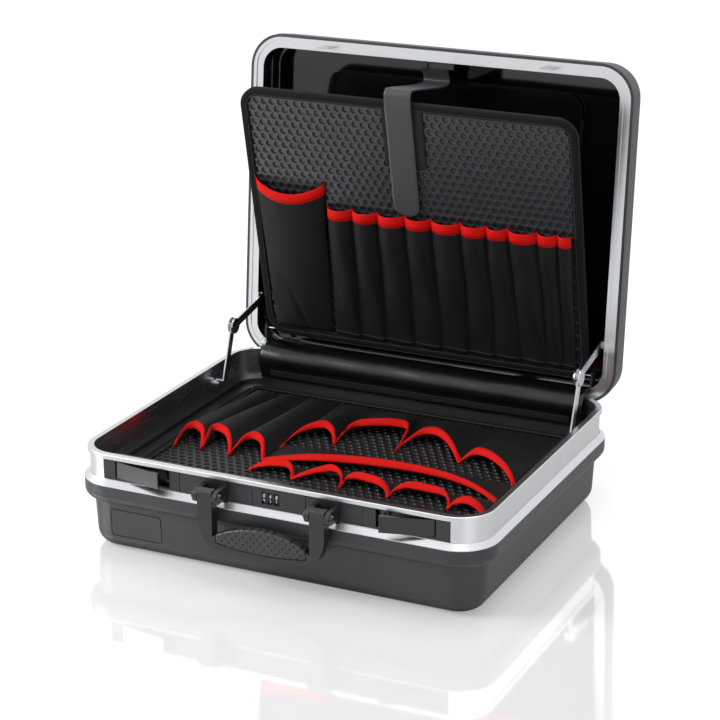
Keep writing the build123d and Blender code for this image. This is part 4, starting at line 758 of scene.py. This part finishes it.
front_mouths = [[(-84, -88, 77), (-78, -84, 82), (-62, -78, 87), (-44, -76, 89), (-35, -80, 86),
                 (-29, -91, 77)],
                [(-29, -91, 77), (-22, -87, 81), (-5, -74, 87), (12, -67, 90), (24, -74, 86),
                 (30, -92, 77)],
                [(30, -92, 77), (32, -80, 86), (42, -76, 90), (58, -77, 90), (74, -82, 90),
                 (84, -86, 84), (89, -94, 77)],
                [(89, -94, 77), (94, -82, 85), (107, -76, 90), (130, -76, 90), (150, -78, 89),
                 (158, -86, 83), (161, -96, 77)],
                [(161, -96, 77), (166, -90, 84), (178, -88, 89), (190, -90, 87),
                 (200.5, -93, 78)]]
pocket_row("base_short_pockets", "base_front_pockets", front_mouths,
           [(-84, -29), (-29, 30), (30, 89), (89, 161), (161, 200.5)], -57.0, 1.0)


# Strap and its patch. Dark grey leatherette, 33 mm wide, double stitched near each side and rounded
# at its end; it holds the board to the lid and runs over the board's top to two clips. The patch is
# a black strip of hook tape on the board, a little wider than the strap.
leatherette = new_material("grey_leatherette", "#3a3b3f", Roughness=0.42, IOR=1.5)
where = add(leatherette, "ShaderNodeTexCoord", {})
pores = add(leatherette, "ShaderNodeTexVoronoi", {"Vector": where.outputs["Object"],
                                                  "Scale": 1 / 0.0011})
relief = add(leatherette, "ShaderNodeBump",
             {"Height": pores.outputs["Distance"], "Strength": 0.25, "Distance": 0.00015})
join(leatherette, "Normal", relief.outputs["Normal"])

STRAP_X, STRAP_HALF = -4.5, 16.5
END_RADIUS = 14.0               # of the strap's rounded end
ON_BOARD_LENGTH = 142.0         # of the strap that lies flat on the board
strap_path = [(*board_point(187.0, 2.6),), (*board_point(240.0, 2.6),), (*board_point(300.0, 2.6),),
              (*board_point(331.0, 3.0),), (*board_point(343.5, -2.0),),
              (*board_point(340.5, -16.0),), (*lid_point(352.0, -8.0),),
              (*lid_point(372.0, -6.4),), (*lid_point(386.0, -6.4),)]
middle_line = smooth_line([(0.0, y, z) for y, z in strap_path], 121)
gone = distance_along(middle_line)
end_arc = np.sqrt(np.maximum(END_RADIUS**2 - (END_RADIUS - gone)**2, 0))
half = np.where(gone < END_RADIUS, STRAP_HALF - END_RADIUS + end_arc, STRAP_HALF)
c = np.linspace(-1, 1, 13)
strap_points = np.stack(np.broadcast_arrays(STRAP_X + half[:, None] * c[None, :],
                                            middle_line[:, 1:2], middle_line[:, 2:3]), -1)
strap = cloth_piece("board_strap", strap_points, 1.8, leatherette)
edge_round = strap.modifiers.new("edge", "BEVEL")
edge_round.width, edge_round.segments = 0.0004, 2
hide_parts("lid_strap", "strap_span")
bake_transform(strap)
lines = []
on_board = gone < ON_BOARD_LENGTH
for inset in (2.6, 4.6):
    for side in (-1, 1):
        x = STRAP_X + side * (half - inset)
        lines.append(np.stack((x, middle_line[:, 1], middle_line[:, 2]), -1)[on_board][2:]
                     + BOARD_OUT * 0.95)
seam = new_piece("strap_stitches", *stitch_row(lines, BOARD_OUT, pitch=2.9, length=2.0, width=0.5),
                 thread)
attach(seam, "lid_board")

hook_tape = new_material("black_hook_tape", "#060607", Roughness=0.95)
where = add(hook_tape, "ShaderNodeTexCoord", {})
hooks = add(hook_tape, "ShaderNodeTexNoise", {"Vector": where.outputs["Object"],
                                              "Scale": 1 / 0.0016, "Detail": 3.0})
relief = add(hook_tape, "ShaderNodeBump",
             {"Height": hooks.outputs["Fac"], "Strength": 1.0, "Distance": 0.0012})
join(hook_tape, "Normal", relief.outputs["Normal"])
# the colour follows the relief, near black in the hollows of the pile and lighter on its tops:
# painted shade
tint = add(hook_tape, "ShaderNodeMix", {"Factor": hooks.outputs["Fac"], 6: linear("#030303"),
                                        7: linear("#1a1a1b")}, data_type="RGBA")
join(hook_tape, "Base Color", tint.outputs[2])
x, h = np.meshgrid(np.linspace(-27.5, 24.4, 27), np.linspace(250.0, 322.0, 37), indexing="xy")
fray = 0.25 * np.sin(1.9 * x + 2.7 * h) * np.cos(2.3 * x - 1.1 * h)
patch = cloth_piece("strap_hook_patch", on_lid_board(x, h, 0.75 + fray * 0.3), 0.9, hook_tape)
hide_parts("strap_patch")
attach(patch, "lid_board")


# Cover over the hinge gap. A sheet of black vinyl, held under the ledge's back edge and behind the
# lid's ring; it bulges forward in between, and a strip of hook tape is sewn along it.
vinyl = new_material("black_vinyl", "#070708", Roughness=0.28, IOR=1.5)
where = add(vinyl, "ShaderNodeTexCoord", {})
pores = add(vinyl, "ShaderNodeTexNoise", {"Vector": where.outputs["Object"], "Scale": 1 / 0.0015,
                                          "Detail": 2.0})
buckle = add(vinyl, "ShaderNodeTexNoise", {"Vector": where.outputs["Object"], "Scale": 1 / 0.05,
                                           "Detail": 1.0})
fine = add(vinyl, "ShaderNodeBump", {"Height": pores.outputs["Fac"], "Strength": 0.2,
                                     "Distance": 0.0001})
relief = add(vinyl, "ShaderNodeBump", {"Height": buckle.outputs["Fac"], "Strength": 0.35,
                                       "Distance": 0.003, "Normal": fine.outputs["Normal"]})
join(vinyl, "Normal", relief.outputs["Normal"])
cover_path = [(0, 188.46, 81.0), (0, 184.1, 92.0), (0, 180.9, 103.0), (0, 182.6, 113.0),
              (0, 189.5, 120.0), (0, *lid_point(15.0, 5.0)), (0, *lid_point(16.3, -2.0))]
cover_line = smooth_line(cover_path, 45)
x = np.linspace(-212, 212, 97)
share = np.linspace(0, 1, 45)[:, None]
swell = (0.8 * np.sin(x / 37.0) + 0.5 * np.sin(x / 14.0 + 1.0))[None, :] * np.sin(np.pi * share)
cover_points = np.stack(np.broadcast_arrays(x[None, :], cover_line[:, 1:2] - swell,
                                            cover_line[:, 2:3]), -1)
cover = cloth_piece("hinge_gap_cover", cover_points, 1.1, vinyl)
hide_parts("hinge_cover")
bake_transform(cover)

x = np.linspace(-196, 196, 197)
strip_line = smooth_line([(0, 187.0, 84.6), (0, 185.1, 89.2), (0, 183.6, 93.4)], 13)
fuzz = 0.25 * np.sin(1.3 * x)[None, :] * np.cos(np.arange(13) * 2.1)[:, None]
hook_points = np.stack(np.broadcast_arrays(
    x[None, :], strip_line[:, 1:2] - 1.5 + fuzz - (0.8 * np.sin(x / 37.0)
    + 0.5 * np.sin(x / 14.0 + 1.0))[None, :] * np.linspace(0.3, 0.75, 13)[:, None],
    strip_line[:, 2:3]), -1)
hook_strip = cloth_piece("cover_hook_strip", hook_points, 0.9, hook_tape)
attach(hook_strip, "base")


# Studio: a plain white floor with a slight polish, broad soft lamps, a white surround and the
# camera where the photograph was taken from.
floor_paint = new_material("white_gloss_floor", "#f2f2f2", Roughness=0.06, IOR=2.0, Metallic=0.3,
                           Emission_Color=(1.0, 1.0, 1.0, 1.0))
# the floor is lifted to white for the camera alone, so that no more light falls on the case
path = add(floor_paint, "ShaderNodeLightPath", {})
lifted = add(floor_paint, "ShaderNodeMath", {0: path.outputs["Is Camera Ray"], 1: 0.34},
             operation="MULTIPLY")
join(floor_paint, "Emission Strength", lifted.outputs["Value"])
x, y = np.meshgrid((-9000.0, 9000.0), (-9000.0, 9000.0), indexing="xy")
floor = new_piece("floor", np.stack((x, y, 0 * x - 0.05), -1), grid_faces(2, 2), floor_paint)


def soft_lamp(name, place, target, size, power):
    """A square soft lamp at a place, facing a target, both in metres."""
    lamp = bpy.data.lights.new(name, "AREA")
    lamp.size, lamp.energy = size, power
    thing = bpy.data.objects.new(name, lamp)
    bpy.context.scene.collection.objects.link(thing)
    thing.location = place
    thing.rotation_euler = (Vector(target) - Vector(place)).to_track_quat("-Z", "Y").to_euler()


soft_lamp("key", (-2.1, -1.2, 1.5), (0.0, 0.0, 0.15), 1.2, 52.0)
soft_lamp("fill", (2.2, -1.6, 1.3), (0.0, 0.0, 0.2), 1.6, 5.0)
soft_lamp("top", (0.2, 0.3, 2.6), (0.0, 0.0, 0.0), 1.8, 22.0)

world = bpy.data.worlds.new("surround")
bpy.context.scene.world = world
world.use_nodes = True
# rays from the camera, reflected or passed through see white; light on the case is dimmer
ray = world.node_tree.nodes.new("ShaderNodeLightPath")
seen = world.node_tree.nodes.new("ShaderNodeMath")
seen.operation = "MAXIMUM"
seen_too = world.node_tree.nodes.new("ShaderNodeMath")
seen_too.operation = "MAXIMUM"
level = world.node_tree.nodes.new("ShaderNodeMapRange")
level.inputs["To Min"].default_value = 0.36
level.inputs["To Max"].default_value = 1.0
links = world.node_tree.links
links.new(ray.outputs["Is Camera Ray"], seen.inputs[0])
links.new(ray.outputs["Is Glossy Ray"], seen.inputs[1])
links.new(seen.outputs[0], seen_too.inputs[0])
links.new(ray.outputs["Is Transmission Ray"], seen_too.inputs[1])
links.new(seen_too.outputs[0], level.inputs["Value"])
sky = world.node_tree.nodes["Background"]
sky.inputs["Color"].default_value = (1.0, 1.0, 1.0, 1.0)
links.new(level.outputs["Result"], sky.inputs["Strength"])

CAMERA_PLACE = (1.046603, -2.179194, 1.037458)
CAMERA_YAW, CAMERA_PITCH, CAMERA_ROLL = -0.4429999, 0.3362274, -0.0020708
ahead = np.array((np.sin(CAMERA_YAW) * np.cos(CAMERA_PITCH),
                  np.cos(CAMERA_YAW) * np.cos(CAMERA_PITCH), -np.sin(CAMERA_PITCH)))
right = np.array((np.cos(CAMERA_YAW), -np.sin(CAMERA_YAW), 0.0))
above = np.cross(right, ahead)
turned_right = np.cos(CAMERA_ROLL) * right + np.sin(CAMERA_ROLL) * above
turned_up = -np.sin(CAMERA_ROLL) * right + np.cos(CAMERA_ROLL) * above
lens = bpy.data.cameras.new("camera")
lens.lens, lens.sensor_width = 114.246, 36.0
camera = bpy.data.objects.new("camera", lens)
bpy.context.scene.collection.objects.link(camera)
place = np.eye(4)
place[:3, :3] = np.stack((turned_right, turned_up, -ahead), -1)
place[:3, 3] = CAMERA_PLACE
camera.matrix_world = Matrix(place.tolist())
bpy.context.scene.camera = camera
bpy.context.scene.view_settings.view_transform = "Standard"
